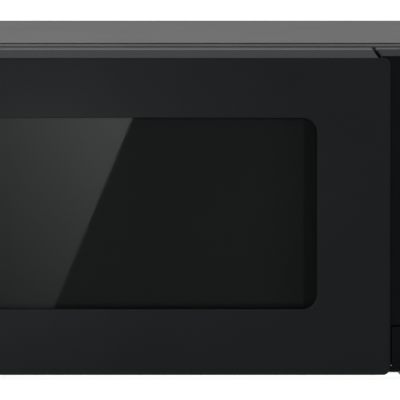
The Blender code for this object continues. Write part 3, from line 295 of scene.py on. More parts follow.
def carve(item, *tools, operation="DIFFERENCE"):
    """Cut other shapes away from a piece, or join them, and keep the result as its mesh."""
    for tool in tools:
        step = item.modifiers.new("carve", "BOOLEAN")
        step.operation = operation
        step.solver = "EXACT"
        step.object = tool
    bpy.context.view_layer.update()
    evaluated = item.evaluated_get(bpy.context.evaluated_depsgraph_get())
    mesh = bpy.data.meshes.new_from_object(evaluated)
    item.modifiers.clear()
    item.data = mesh
    mesh.name = item.name
    for tool in tools:
        bpy.data.objects.remove(tool, do_unlink=True)
    return item


def place(item, finish, body, replaces=(), angle=32):
    """Shade and paint a finished piece, and make it ride on its body."""
    item.data.shade_smooth()
    item.data.set_sharp_from_angle(angle=math.radians(angle))
    item.data.materials.clear()
    item.data.materials.append(MATERIALS[finish])
    normals = item.modifiers.new("normals", "WEIGHTED_NORMAL")
    normals.keep_sharp = True
    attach(item, body)
    if replaces:
        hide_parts(*replaces)
    return item


# --------------------------------------------------------------------- materials
def new_material(name):
    """Make a node material and return it with its tree and shader."""
    made = bpy.data.materials.new(name)
    made.use_nodes = True
    tree = made.node_tree
    return made, tree, tree.nodes["Principled BSDF"]


def ramp(tree, source, low, high, start=0.35, end=0.65):
    """Map a 0 to 1 pattern onto a range of values or colours."""
    node = tree.nodes.new("ShaderNodeValToRGB")
    for element, position, value in zip(node.color_ramp.elements, (start, end), (low, high)):
        element.position = position
        element.color = (*value, 1.0) if isinstance(value, tuple) else (value, value, value, 1.0)
    tree.links.new(source, node.inputs["Fac"])
    return node.outputs["Color"]


def noise(tree, scale, detail=3.0, stretch=(1.0, 1.0, 1.0)):
    """Noise in the piece's own metres, stretched along an axis if asked."""
    where = tree.nodes.new("ShaderNodeTexCoord")
    mapping = tree.nodes.new("ShaderNodeMapping")
    mapping.inputs["Scale"].default_value = stretch
    pattern = tree.nodes.new("ShaderNodeTexNoise")
    pattern.inputs["Scale"].default_value = scale
    pattern.inputs["Detail"].default_value = detail
    tree.links.new(where.outputs["Object"], mapping.inputs["Vector"])
    tree.links.new(mapping.outputs["Vector"], pattern.inputs["Vector"])
    return pattern.outputs["Fac"]


def shade(colour, factor):
    """Scale a colour."""
    return tuple(min(1.0, channel * factor) for channel in colour)


def surface(name, colour, roughness, metallic=0.0, grain=900.0, bump=0.02, vary=0.12,
            spread=0.05, stretch=(1.0, 1.0, 1.0), specular=0.5, coat=0.0, depth=0.0002,
            coat_roughness=0.05, alpha=1.0):
    """Moulded, painted or bare metal finish: cloudy colour, uneven gloss and a fine grain."""
    made, tree, shader = new_material(name)
    clouds = noise(tree, 14.0, 2.0)
    fine = noise(tree, grain, 4.0, stretch)
    tint = ramp(tree, clouds, shade(colour, 1 - vary), shade(colour, 1 + vary))
    gloss = ramp(tree, fine, max(0.02, roughness - spread), min(1.0, roughness + spread))
    relief = tree.nodes.new("ShaderNodeBump")
    relief.inputs["Strength"].default_value = bump
    relief.inputs["Distance"].default_value = depth
    tree.links.new(fine, relief.inputs["Height"])
    tree.links.new(tint, shader.inputs["Base Color"])
    tree.links.new(gloss, shader.inputs["Roughness"])
    tree.links.new(relief.outputs["Normal"], shader.inputs["Normal"])
    shader.inputs["Metallic"].default_value = metallic
    shader.inputs["Specular IOR Level"].default_value = specular
    shader.inputs["Coat Weight"].default_value = coat
    shader.inputs["Coat Roughness"].default_value = coat_roughness
    shader.inputs["Alpha"].default_value = alpha
    return made


def map_range(tree, source, low, high, to_low, to_high):
    """Map a value from one range to another."""
    node = tree.nodes.new("ShaderNodeMapRange")
    limits = (("From Min", low), ("From Max", high), ("To Min", to_low), ("To Max", to_high))
    for socket, value in limits:
        node.inputs[socket].default_value = value
    tree.links.new(source, node.inputs["Value"])
    return node.outputs["Result"]


def combine(tree, operation, first, second):
    """Add or multiply two values."""
    node = tree.nodes.new("ShaderNodeMath")
    node.operation = operation
    for socket, value in zip(node.inputs, (first, second)):
        if isinstance(value, float):
            socket.default_value = value
        else:
            tree.links.new(value, socket)
    return node.outputs[0]


def window_glass():
    """Tinted glass, darker towards its right, lower and upper edges: painted shade of the recess
    round the pane, with a sharper step where the printed border begins on the right.
    """
    made = surface("window_glass", (0.0064, 0.0079, 0.0073), 0.03, grain=60.0, bump=0.0,
                   vary=0.03, spread=0.005, specular=0.093, alpha=0.93)
    tree = made.node_tree
    shader = tree.nodes["Principled BSDF"]
    where = tree.nodes.new("ShaderNodeTexCoord")
    split = tree.nodes.new("ShaderNodeSeparateXYZ")
    tree.links.new(where.outputs["Object"], split.inputs["Vector"])
    right = WINDOW_RIGHT - BORDER_WIDTH
    # painted shade: the glass darkens gradually towards the right edge of the recess
    right_painted_shade = map_range(tree, split.outputs["X"], right - 0.028, right - 0.006, 1.0, 0.82)
    # sharper step where the printed black border begins on the right
    edge = map_range(tree, split.outputs["X"], right - 0.0005, right + 0.0008, 1.0, 0.62)
    # painted shade: darker towards the bottom edge of the recess
    foot = map_range(tree, split.outputs["Z"], OPENING_LOW, OPENING_LOW + 0.0060, 0.36, 1.0)
    # painted shade: a thin dark line under the top edge of the recess
    head = map_range(tree, split.outputs["Z"], WINDOW_HIGH - 0.0016, WINDOW_HIGH - 0.0004,
                     1.0, 0.5)
    # printed border step times the painted shade, scaling the glass tint
    print_and_painted_shade = combine(tree, "MULTIPLY", combine(tree, "MULTIPLY", right_painted_shade, edge),
                     combine(tree, "MULTIPLY", foot, head))
    scale = tree.nodes.new("ShaderNodeVectorMath")
    scale.operation = "SCALE"
    tint = shader.inputs["Base Color"].links[0].from_socket
    tree.links.new(tint, scale.inputs[0])
    tree.links.new(print_and_painted_shade, scale.inputs["Scale"])
    tree.links.new(scale.outputs[0], shader.inputs["Base Color"])
    return made


def make_materials():
    """One finish for each kind of surface on the oven."""
    brushed = (1.0, 12.0, 1.0)
    return {
        "cabinet_paint": surface("cabinet_paint", (0.028, 0.028, 0.029), 0.46, grain=1400.0,
                                 bump=0.10, specular=0.20),
        "plate_paint": surface("plate_paint", (0.048, 0.048, 0.049), 0.40, grain=1400.0, bump=0.06,
                               specular=0.18),
        "cavity_enamel": surface("cavity_enamel", (0.16, 0.16, 0.155), 0.34, grain=700.0,
                                 bump=0.05),
        "galvanised_steel": surface("galvanised_steel", (0.36, 0.37, 0.38), 0.44, 1.0, grain=420.0,
                                    bump=0.02, vary=0.03, spread=0.04, stretch=brushed),
        "part_alloy": surface("part_alloy", (0.58, 0.59, 0.60), 0.32, 1.0, grain=300.0),
        "black_plastic": surface("black_plastic", (0.0080, 0.0096, 0.0102), 0.30, grain=2200.0,
                                 bump=0.03, vary=0.05, specular=0.105),
        "panel_plastic": surface("panel_plastic", (0.0026, 0.0034, 0.0038), 0.30, grain=2200.0,
                                 bump=0.02, vary=0.05, specular=0.09),
        "key_mark": surface("key_mark", (0.16, 0.165, 0.17), 0.5, grain=1800.0),
        "inner_plastic": surface("inner_plastic", (0.012, 0.012, 0.013), 0.5, grain=1200.0),
        "window_glass": window_glass(),
        "border_paint": surface("border_paint", (0.0030, 0.0032, 0.0032), 0.5, grain=900.0,
                                specular=0.1),
        "screen_steel": surface("screen_steel", (0.016, 0.0185, 0.0165), 0.5, 0.0, grain=800.0,
                                specular=0.2),
        "clear_sheet": surface("clear_sheet", (0.55, 0.57, 0.57), 0.10, bump=0.0, alpha=0.12),
        "plate_glass": surface("plate_glass", (0.62, 0.70, 0.69), 0.06, bump=0.01, alpha=0.45),
        "white_plastic": surface("white_plastic", (0.72, 0.72, 0.69), 0.42, grain=1200.0),
        "grey_plastic": surface("grey_plastic", (0.045, 0.045, 0.047), 0.42, grain=1500.0,
                                bump=0.05),
        "rubber": surface("rubber", (0.012, 0.012, 0.012), 0.72, grain=1100.0, bump=0.15,
                          specular=0.3),
        "mica": surface("mica", (0.50, 0.45, 0.36), 0.45, grain=500.0, bump=0.10, vary=0.25),
        "circuit_board": surface("circuit_board", (0.012, 0.11, 0.04), 0.36, grain=900.0),
        "spring_steel": surface("spring_steel", (0.50, 0.50, 0.51), 0.28, 1.0, grain=500.0),
    }


MATERIALS = make_materials()
SLOT_OF_NODE = {row["node"]: row["material_slot"] for row in frame["record"]["subparts"]}


def dress_nodes():
    """Paint the CAD nodes that stay, and soften their sheet and moulding edges."""
    for name, item in NODES.items():
        item.data.materials.clear()
        item.data.materials.append(MATERIALS[SLOT_OF_NODE[name]])
        if item.hide_render or name.endswith("spring"):
            continue
        weld = item.modifiers.new("weld", "WELD")
        weld.merge_threshold = 0.00001
        edges = item.modifiers.new("edges", "BEVEL")
        edges.width = EDGE
        edges.segments = 2
        edges.limit_method = "ANGLE"
        edges.angle_limit = math.radians(35)
        edges.harden_normals = False
        item.data.shade_smooth()
        normals = item.modifiers.new("normals", "WEIGHTED_NORMAL")
        normals.keep_sharp = True


# -------------------------------------------------------------------------- door
def make_door_skin():
    """Door moulding: sloping top edge, right lip, slanted flank, window opening."""
    low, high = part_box("door_panel")
    corner, side, inner, lip_corner = 0.0035, 0.0030, 0.0090, 0.0052
    ridge = high.z - TOP_FALL
    top = ridge - CHAMFER_RISE
    foot = low.z + GAP
    front = [
        (FRONT_Y, low.x + side + inner, DOOR_RIGHT_FRONT - inner, foot + inner, top - inner,
         0.001, 0.001),
        (FRONT_Y, low.x + side + 0.0010, DOOR_RIGHT_FRONT - 0.0032, foot + 0.0010, top - 0.0010,
         corner, 0.0030),
        (FRONT_Y + 0.0001, low.x + side + 0.0004, DOOR_RIGHT_FRONT - 0.0012, foot + 0.0004,
         top - 0.0004, corner, 0.0044),
        (FRONT_Y + 0.0003, low.x + side, DOOR_RIGHT_FRONT, foot, top, corner, lip_corner),
        (FRONT_Y + LIP_THICKNESS, low.x + side + 0.0001, DOOR_RIGHT_FRONT, foot + 0.0001,
         top - 0.0001, corner, lip_corner)]
    back = [
        (FRONT_Y + 0.0002, low.x + side, DOOR_RIGHT_ROOT, foot, top, corner, 0.0020),
        (FRONT_Y + CHAMFER_DEPTH, low.x, DOOR_RIGHT_CHAMFER, low.z, ridge, corner, 0.0020),
        (FRONT_Y + SLANT_DEPTH, low.x, DOOR_RIGHT_BACK, low.z, ridge + 0.0001, corner, 0.0020),
        (high.y, low.x, DOOR_RIGHT_BACK, low.z, high.z, corner, 0.0020)]
    door = loft("door_skin", ease(back, 0.0006))
    carve(door, loft("door_face", ease(front, 0.0006)), operation="UNION")
    wall = 0.0026
    right = DOOR_RIGHT_BACK - wall
    hollow = loft("door_hollow", [
        (FRONT_Y + 0.0030, low.x + 0.0050, right, low.z + 0.0034, high.z - 0.0072, 0.003),
        (FRONT_Y + 0.0090, low.x + wall, right, low.z + wall, high.z - wall, 0.002),
        (high.y + CUT, low.x + wall, right, low.z + wall, high.z - wall, 0.002)], COARSE)
    lip = 0.0007
    cutter = [(FRONT_Y - lip, lip)]
    for step in range(6):
        angle = math.radians(90 * step / 5)
        cutter.append((FRONT_Y - 0.00001 + lip * (1 - math.cos(angle)),
                       lip * (1 - math.sin(angle))))
    cutter.append((FRONT_Y + CUT, 0.0))
    window = loft("window_cutter", [
        (y, WINDOW_LEFT - grow, OPENING_RIGHT + grow, OPENING_LOW - grow, WINDOW_HIGH + grow,
         WINDOW_CORNER + grow) for y, grow in cutter])
    carve(door, hollow, window, blocks("hinge_relief", [HINGE_POCKET]),
          blocks("bracket_slots", BRACKET_SLOTS))
    place(door, "black_plastic", "door", ["door_panel"])


def make_window():
    """Tinted pane in its recess, and the black border printed behind it."""
    low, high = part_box("door_window")
    pane = slab("window_pane", low.x, high.x, low.z, high.z, low.y, high.y, 0.006, 0.0003)
    place(pane, "window_glass", "door", ["door_window"])
    border = slab("window_border", low.x, high.x, low.z, high.z, high.y + 0.0001, high.y + 0.0004,
                  0.006)
    inset_right, inset = 0.0095, 0.0050
    opening = slab("border_opening", WINDOW_LEFT + inset, WINDOW_RIGHT - inset_right,
                   WINDOW_LOW + inset, WINDOW_HIGH - 0.0012, high.y - CUT, high.y + CUT, 0.008)
    carve(border, opening)
    place(border, "border_paint", "door")


def make_screen():
    """Perforated shielding screen: a field of round holes inside a plain surround."""
    low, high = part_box("door_screen")
    rise = MESH_PITCH * math.sqrt(3) / 2
    left, right = SIGHT_LEFT + 0.001, SIGHT_RIGHT - 0.001
    bottom, top = SIGHT_LOW + 0.001, SIGHT_HIGH - 0.001
    columns = int((right - left) / MESH_PITCH) - 1
    rows = int((top - bottom) / rise) - 1
    front = low.y + 0.0002
    bm = bmesh.new()
    for row in range(rows):
        for column in range(columns):
            x = left + MESH_PITCH * (column + 0.75 + 0.5 * (row % 2))
            z = bottom + rise * (row + 1.0)
            outer, inner = [], []
            for corner in range(6):
                angle = math.radians(30 + 60 * corner)
                for ring, radius in ((outer, MESH_PITCH / math.sqrt(3)), (inner, MESH_HOLE)):
                    ring.append(bm.verts.new((
                        x + radius * math.cos(angle), front, z + radius * math.sin(angle))))
            for corner in range(6):
                following = (corner + 1) % 6
                bm.faces.new((outer[corner], outer[following], inner[following], inner[corner]))
    field = mesh_object("screen_mesh", bm)
    bm = bmesh.new()
    bm.from_mesh(field.data)
    bmesh.ops.remove_doubles(bm, verts=bm.verts[:], dist=0.00002)
    bm.to_mesh(field.data)
    bm.free()
    sheet = field.modifiers.new("sheet", "SOLIDIFY")
    sheet.thickness = 0.0004
    sheet.offset = 0.0
    field.data.materials.append(MATERIALS["screen_steel"])
    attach(field, "door")
    surround = slab("screen_surround", low.x, high.x, low.z, high.z, low.y, low.y + 0.0007, 0.004)
    margin = MESH_PITCH * 0.9
    opening = slab("surround_opening", left + margin, right - margin, bottom + margin, top - margin,
                   low.y - CUT, low.y + CUT, 0.006)
    carve(surround, opening)
    place(surround, "screen_steel", "door", ["door_screen"])


def make_choke_cover():
    """Inner trim of the door with a stepped edge and press-fit dimples."""
    low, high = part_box("choke_cover")
    step = 0.0006
    cover = loft("choke_trim", ease([
        (high.y, low.x + 0.008, high.x - 0.008, low.z + 0.008, high.z - 0.008, 0.002),
        (high.y, low.x + 0.003, high.x - 0.003, low.z + 0.003, high.z - 0.003, 0.003),
        (high.y - step, low.x, high.x, low.z, high.z, 0.003),
        (low.y, low.x, high.x, low.z, high.z, 0.003)], 0.0004))
    opening = slab("trim_opening", SIGHT_LEFT, SIGHT_RIGHT, SIGHT_LOW, SIGHT_HIGH,
                   low.y - CUT, high.y + CUT, 0.008)
    inner = 0.006
    groove = slab("trim_groove", SIGHT_LEFT - inner, SIGHT_RIGHT + inner, SIGHT_LOW - inner,
                  SIGHT_HIGH + inner, high.y - 0.0004, high.y + CUT, 0.014)
    carve(cover, opening, groove)
    from_edge = 0.020
    centres = [(x, high.y, z) for x in DIMPLE_XS for z in (low.z + from_edge, high.z - from_edge)]
    carve(cover, slots("trim_dimples", centres, 0.016, 0.005, 0.0005))
    place(cover, "grey_plastic", "door", ["choke_cover"])


# ----------------------------------------------------------------------- cabinet
def wrap_outline(y, inset, thickness):
    """Closed outline of the folded sheet at one depth, outside then inside."""
    low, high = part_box("cabinet_wrap")
    bend = 0.008

    def half_path(out):
        points = [(HALF_WIDTH - out, low.z + inset)]
        for step in range(FINE + 1):
            angle = math.radians(90 * step / FINE)
            points.append((HALF_WIDTH - bend + (bend - out) * math.cos(angle),
                           high.z - bend + (bend - out) * math.sin(angle)))
        return points + [(-x, z) for x, z in reversed(points)]

    outside = half_path(inset)
    inside = half_path(thickness)
    return [Vector((x, y, z)) for x, z in outside + inside[::-1]]


def side_vents(name, x, count, first, pitch, heights, width):
    """Rows of round-ended slots through one side of the cover."""
    centres = [(x, first + pitch * column, z) for column in range(count) for z in heights]
    return slots(name, centres, width, VENT_LENGTH, 0.004, "X")


def make_cabinet():
    """Folded cover with its rounded shoulders and round-ended side vents."""
    low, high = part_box("cabinet_wrap")
    soft = 0.0003
    hem = ((0.0, 0.00070), (0.00008, 0.00048), (0.00022, 0.00022), (0.00045, 0.00006),
           (0.0007, 0.0))         # depth and inset of the rounded front edge
    rings = [wrap_outline(low.y + deep, inset, SHEET) for deep, inset in hem]
    bm = bmesh.new()
    skin_rings(bm, rings + [
        wrap_outline(high.y - soft, 0.0, SHEET), wrap_outline(high.y, soft, SHEET)])
    cover = mesh_object("cabinet_cover", bm)
    carve(cover, side_vents("right_vents", HALF_WIDTH, *RIGHT_VENTS),
          side_vents("left_vents", -HALF_WIDTH, *LEFT_VENTS))
    place(cover, "cabinet_paint", "chassis", ["cabinet_wrap"])


def make_front_plate():
    """Pressed front with a rolled rim round the cavity mouth and the latch slots."""
    low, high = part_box("front_plate")
    roll = 0.003
    stations = []
    for step in range(9):
        angle = math.radians(90 * step / 8)
        stations.append((roll * (1 - math.sin(angle)), low.y + roll * (1 - math.cos(angle))))
    stations.append((0.0, high.y))
    plate = loft("front_pressing", [
        (y, low.x + inset, high.x - inset, low.z + inset, high.z - inset, 0.009 - inset)
        for inset, y in stations])
    behind = loft("front_hollow", [
        (y, low.x + inset, high.x - inset, low.z + inset, high.z - inset, 0.008 - inset)
        for inset, y in ((0.0034, low.y + 0.001), (0.0010, low.y + 0.0038),
                         (0.0010, high.y + 0.002))], COARSE)
    mouth_low, mouth_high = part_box("cavity_box")
    lip = 0.0008
    mouth = loft("mouth", [
        (y, mouth_low.x + SHEET - grow, mouth_high.x - SHEET + grow, mouth_low.z + SHEET - grow,
         mouth_high.z - SHEET + grow, 0.012 + grow)
        for y, grow in ((low.y - lip, lip), (low.y, lip), (low.y + lip * 0.3, lip * 0.4),
                        (low.y + lip, 0.0), (low.y + 0.02, 0.0))])
    holes = [(HOOK_X, low.y, height + 0.002) for height in HOOK_HEIGHTS]
    hooks = slots("hook_slots", holes, 0.011, 0.022, 0.006)
    rod = slots("rod_slot", [(ROD_SLOT[0], low.y, ROD_SLOT[1])], 0.011, 0.015, 0.006)
    loom = slots("loom_slot", [(LOOM_SLOT[0], low.y, LOOM_SLOT[1])], 0.050, 0.040, 0.006)
    carve(plate, behind, mouth, hooks, rod, loom)
    place(plate, "plate_paint", "chassis", ["front_plate"])


def grid(x, rows, columns, first_y, first_z, pitch):
    """Centres of a field of holes in a side wall."""
    return [(x, first_y + pitch * column, first_z + pitch * row)
            for row in range(rows) for column in range(columns)]


def make_cavity():
    """Enamelled cavity: rounded corners, pressed back, lamp holes, port and spindle hole."""
    low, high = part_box("cavity_box")
    liner = slab("cavity_liner", low.x, high.x, low.z, high.z, low.y, high.y, 0.0128)
    left, right = low.x + SHEET, high.x - SHEET
    floor, top, back = low.z + SHEET, high.z - SHEET, high.y - SHEET
    inside = loft("cavity_inside", ease([
        (low.y - CUT, left, right, floor, top, 0.012),
        (back - 0.0006, left, right, floor, top, 0.012),
        (back, left + 0.004, right - 0.004, floor + 0.004, top - 0.004, 0.009)], 0.0005))
    port = blocks("port", [((right - 0.004, *PORT[0]), (high.x + 0.006, *PORT[1]))])
    carve(liner, inside, port)
    plate_low, plate_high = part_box("glass_plate")
    centre = (plate_low + plate_high) / 2
    spindle = drill("spindle_hole", 0.006, (centre.x, centre.y, floor))
    carve(liner, spindle,
          slots("lamp_holes", grid(high.x, *LAMP_HOLES), 0.0022, 0.0022, 0.004, "X"),
          slots("outlet_holes", grid(low.x, *OUTLET_HOLES), 0.0034, 0.0034, 0.004, "X"))
    place(liner, "cavity_enamel", "chassis", ["cavity_box"])


def make_rear():
    """Rear panel: stiffening ribs, round-ended vents, gland hole and screws."""
    low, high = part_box("rear_panel")
    wall = 0.001
    skin = loft("rear_skin", ease([
        (high.y, low.x + 0.004, high.x - 0.004, low.z + 0.004, high.z - 0.004, 0.005),
        (high.y, low.x, high.x, low.z, high.z, 0.007),
        (low.y, low.x, high.x, low.z, high.z, 0.007)], 0.0008))
    inside = slab("rear_inside", low.x + wall, high.x - wall, low.z + wall, high.z - wall,
                  low.y - 0.002, high.y - wall, 0.006, 0.0, COARSE)
    intake = [(x, high.y, z) for x, z in INTAKE_SLOTS]
    outlet = [(x, high.y, z) for x, z in OUTLET_SLOTS]
    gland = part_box("cord_gland")
    centre = ((gland[0].x + gland[1].x) / 2, high.y, (gland[0].z + gland[1].z) / 2)
    hole = drill("gland_hole", 0.0063, centre, "Y", 24)
    carve(skin, inside, slots("intake", intake, 0.080, 0.0045, 0.004),
          slots("outlet", outlet, 0.0045, 0.040, 0.004), hole)
    bm = bmesh.new()
    rise = 0.0012
    for left, right, bottom, top in REAR_RIBS:
        stations = ease([
            (high.y + rise, left + 0.0030, right - 0.0030, bottom + 0.0024, top - 0.0024, 0.0010),
            (high.y + rise, left + 0.0022, right - 0.0022, bottom + 0.0018, top - 0.0018, 0.0016),
            (high.y - 0.0004, left, right, bottom, top, 0.0034)], 0.0006)
        skin_rings(bm, [rounded(*station[1:], station[0], 6) for station in stations])
    carve(skin, mesh_object("rear_ribs", bm), operation="UNION")
    place(skin, "galvanised_steel", "chassis", ["rear_panel"])
    bm = bmesh.new()
    for x, z in REAR_SCREWS:
        spin(bm, [(0.0, 0.0016), (0.0018, 0.0015), (0.0030, 0.0009), (0.0034, 0.0002),
                  (0.0034, -0.0004), (0.0, -0.0004)], (x, high.y + 0.0001, z), "Y", 24)
    heads = mesh_object("rear_screws", bm)
    for name, wide, tall in (("cross_wide", 0.0018, 0.0004), ("cross_tall", 0.0004, 0.0018)):
        carve(heads, blocks(name, [
            ((x - wide, high.y + 0.0010, z - tall), (x + wide, high.y + 0.0030, z + tall))
            for x, z in REAR_SCREWS]))
    place(heads, "part_alloy", "chassis")


def make_gland():
    """Cord gland with its collar and grip rings."""
    low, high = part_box("cord_gland")
    centre = ((low.x + high.x) / 2, 0.0, (low.z + high.z) / 2)
    wide, waist, neck, collar = 0.0082, 0.0076, 0.0060, 0.1653
    profile = [(0.0, high.y), (0.0046, high.y), (0.0068, high.y - 0.0004), (wide, high.y - 0.0016),
               (wide, high.y - 0.0030), (waist, high.y - 0.0034), (wide, high.y - 0.0038),
               (wide, collar), (neck, collar), (neck, low.y), (0.0, low.y)]
    gland = turned("gland", profile, centre, "Y", 40, 0.0003)
    place(gland, "inner_plastic", "chassis", ["cord_gland"])


def make_feet():
    """Rubber feet with a tread groove and a recess underneath."""
    for name in sorted(NODES):
        if not name.startswith("foot_"):
            continue
        low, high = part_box(name)
        centre = ((low.x + high.x) / 2, (low.y + high.y) / 2, 0.0)
        top, wide = high.z, (high.x - low.x) / 2
        profile = [(0.0, top), (wide, top), (wide - 0.0004, 0.0052), (wide - 0.0010, 0.0048),
                   (wide - 0.0006, 0.0044), (wide - 0.0010, 0.0012), (wide - 0.0020, 0.0),
                   (0.0040, 0.0), (0.0034, 0.0010), (0.0, 0.0010)]
        foot = turned(name + "_moulded", profile, centre, "Z", 40, 0.0003)
        place(foot, "rubber", "chassis", [name])


# ------------------------------------------------------------------------- panel
def make_panel():
    """Control housing with softened edges and openings for glass, keys and button."""
    low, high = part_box("control_housing")
    depth = CHAMFER_DEPTH - 0.0010
    inner = 0.0025
    foot = low.z + 0.0012
    top = high.z - PANEL_RISE
    stations = [
        (low.y, PANEL_LEFT_FRONT + inner, high.x - inner, foot + inner, top - inner, 0.0005),
        (low.y, PANEL_LEFT_FRONT, high.x - 0.0006, foot, top, 0.0015),
        (low.y + depth, PANEL_LEFT_CHAMFER, high.x, low.z, high.z, 0.0015),
        (low.y + SLANT_DEPTH, PANEL_LEFT_BACK, high.x, low.z, high.z, 0.0015),
        (high.y, PANEL_LEFT_BACK, high.x, low.z, high.z, 0.0015)]
    housing = loft("panel_housing", ease(stations, 0.0007))
    wall = 0.0025
    left = PANEL_LEFT_BACK + wall
    hollow = loft("panel_hollow", [
        (low.y + wall, PANEL_LEFT_FRONT + 0.0004, high.x - wall, low.z + 0.0032,
         high.z - 0.0072, 0.001),
        (low.y + 0.0120, left, high.x - 0.002, low.z + 0.0022, high.z - 0.0025, 0.001),
        (high.y + CUT, left, high.x - 0.002, low.z + 0.0022, high.z - 0.0025, 0.001)], COARSE)
    tools = [hollow]
    reach = (low.y - 0.005, low.y + 0.008)
    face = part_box("display_window")
    tools.append(slab("display_opening", face[0].x - GAP, face[1].x + GAP, face[0].z - GAP,
                      face[1].z + GAP, *reach, 0.0018, 0.0, 6))
    slack = 0.00015
    tools.append(slab("button_opening", BUTTON[0] - slack, BUTTON[1] + slack, BUTTON[2] - slack,
                      BUTTON[3] + slack, *reach, 0.0016, 0.0, 6))
    for number in range(1, KEY_COUNT + 1):
        left, right, bottom, top = key_face(number)
        tools.append(slab(f"key_opening_{number}", left - GAP, right + GAP, bottom - GAP,
                          top + GAP, *reach, 0.0023, 0.0, 6))
    carve(housing, *tools)
    place(housing, "panel_plastic", "chassis", ["control_housing"])
    pane = slab("display_pane", face[0].x, face[1].x, face[0].z, face[1].z, face[0].y, face[1].y,
                0.0015, 0.0003)
    # the window glass's painted shade, keyed to the window's edges, also darkens this pane
    place(pane, "window_glass", "chassis", ["display_window"])


def key_face(number):
    """Left, right, low and high edge of a key's face, inside its retaining flange."""
    low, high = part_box(f"key_{number}")
    flange = 0.0012
    return low.x + flange, high.x - flange, low.z + flange, high.z - flange


def make_keys():
    """Key caps with a shallow dish, a soft rim and one plain raised bar each."""
    for number in range(1, KEY_COUNT + 1):
        low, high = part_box(f"key_{number}")
        left, right, bottom, top = key_face(number)
        dish, rim = 0.00035, 0.0022
        back = PANEL_FRONT_Y + 0.0029
        cap = loft(f"key_cap_{number}", ease([
            (low.y + dish, left + rim, right - rim, bottom + rim, top - rim, 0.0012),
            (low.y, left + rim * 0.4, right - rim * 0.4, bottom + rim * 0.4, top - rim * 0.4,
             0.0016),
            (low.y + 0.0004, left, right, bottom, top, 0.0020),
            (back, left, right, bottom, top, 0.0020)], 0.0004), 6)
        flange = slab("flange", low.x, high.x, low.z, high.z, back - 0.0001, back + 0.0012,
                      0.002, 0.0, COARSE)
        stem = slab("stem", left, right, bottom, top, back, high.y, 0.0020, 0.0, COARSE)
        carve(cap, flange, stem, operation="UNION")
        place(cap, "panel_plastic", f"key_{number}", [f"key_{number}"])
        middle_x, middle_z = (left + right) / 2, (bottom + top) / 2
        reach, half = 0.0016 + 0.0004 * ((number - 1) % 4), 0.00035
        mark = slab(f"key_bar_{number}", middle_x - reach, middle_x + reach, middle_z - half,
                    middle_z + half, low.y + 0.00012, low.y + 0.0006, half * 0.95, 0.00008, 6)
        place(mark, "key_mark", f"key_{number}")


def make_button():
    """Release button: full soft edges, hollow back and its push rod."""
    low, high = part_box("door_button")
    left, right, bottom, top = BUTTON
    inset = 0.0075
    depth = 0.010
    button = loft("release_button", ease([
        (low.y + 0.0001, left + inset, right - inset, bottom + inset, top - inset, 0.0012),
        (low.y, left + 0.0008, right - 0.0008, bottom + 0.0008, top - 0.0044, 0.0016),
        (low.y + 0.0005, left + 0.0002, right - 0.0002, bottom + 0.0002, top - 0.0021, 0.0016),
        (low.y + 0.0020, left, right, bottom, top - 0.0002, 0.0016),
        (low.y + 0.0028, left, right, bottom, top, 0.0016),
        (low.y + depth, left, right, bottom, top, 0.0016)], 0.0010, 5))
    wall = 0.0030
    hollow = slab("button_hollow", left + wall, right - wall, bottom + wall, top - wall,
                  low.y + wall, low.y + 0.020, 0.002, 0.0, COARSE)
    carve(button, hollow)
    rod = slab("button_rod", *BUTTON_ROD, low.y + 0.0010, high.y, 0.0006, 0.0, COARSE)
    carve(button, rod, operation="UNION")
    place(button, "panel_plastic", "door_button", ["door_button"])


def make_coil(name, axis, body):
    """Coil spring wound inside its node's box."""
    low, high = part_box(name)
    along = "XYZ".index(axis)
    length = high[along] - low[along]
    centre = (low + high) / 2
    wire, turns, per_turn, sides = 0.00045, 8, 28, 8
    radius = (high[(along + 1) % 3] - low[(along + 1) % 3]) / 2 - wire
    pitch_length = length - 2 * wire
    bm = bmesh.new()
    rings = []
    turn = Matrix.Translation(centre) @ turn_to(axis)
    for step in range(turns * per_turn + 1):
        share = step / (turns * per_turn)
        angle = 2 * math.pi * turns * share
        rise = pitch_length * (share - 0.5)
        out = Vector((math.cos(angle), math.sin(angle), 0.0))
        ring = []
        for side in range(sides):
            around = 2 * math.pi * side / sides
            offset = out * math.cos(around) + Vector((0.0, 0.0, math.sin(around)))
            ring.append(turn @ (out * radius + Vector((0.0, 0.0, rise)) + offset * wire))
        rings.append(ring)
    skin_rings(bm, rings)
    coil = mesh_object(name + "_coil", bm)
    place(coil, "spring_steel", body, [name], 60)
    coil.modifiers.clear()
    anchor = centre.copy()
    anchor[along] = high[along]
    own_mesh(coil)


# --------------------------------------------------------------------- turntable
def make_glass_plate():
    """Pressed glass plate with a raised rim."""
    low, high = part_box("glass_plate")
    centre = ((low.x + high.x) / 2, (low.y + high.y) / 2, 0.0)
    wide = (high.x - low.x) / 2
    under = low.z
    top = under + 0.0045
    profile = [(0.0, top), (wide - 0.0180, top), (wide - 0.0080, top + 0.0030),
               (wide - 0.0020, high.z), (wide, high.z), (wide, high.z - 0.0015),
               (wide - 0.0060, top - 0.0005), (wide - 0.0180, under), (0.0, under)]
    plate = turned("turntable_plate", profile, centre, "Z", 96, 0.0016)
    place(plate, "plate_glass", "turntable", ["glass_plate"], 60)


def make_rollers():
    """Smooth rollers with rounded treads."""
    for number in range(1, 4):
        name = f"roller_{number}"
        angle = 2 * math.pi * (number - 1) / 3 + math.pi / 2
        low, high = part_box(name)
        centre = (low + high) / 2
        bm = bmesh.new()
        wide, tread, bore = 0.0030, 0.0070, 0.0021
        spin(bm, ease([(bore, wide), (tread - 0.0008, wide), (tread, wide - 0.0008),
                       (tread, -wide + 0.0008), (tread - 0.0008, -wide), (bore, -wide)], 0.0004),
             (0, 0, 0), "X", 36)
        bmesh.ops.transform(bm, matrix=Matrix.Translation(centre) @ Matrix.Rotation(angle, 4, "Z"),
                            verts=bm.verts)
        roller = mesh_object(name + "_tread", bm)
        place(roller, "white_plastic", name, [name])


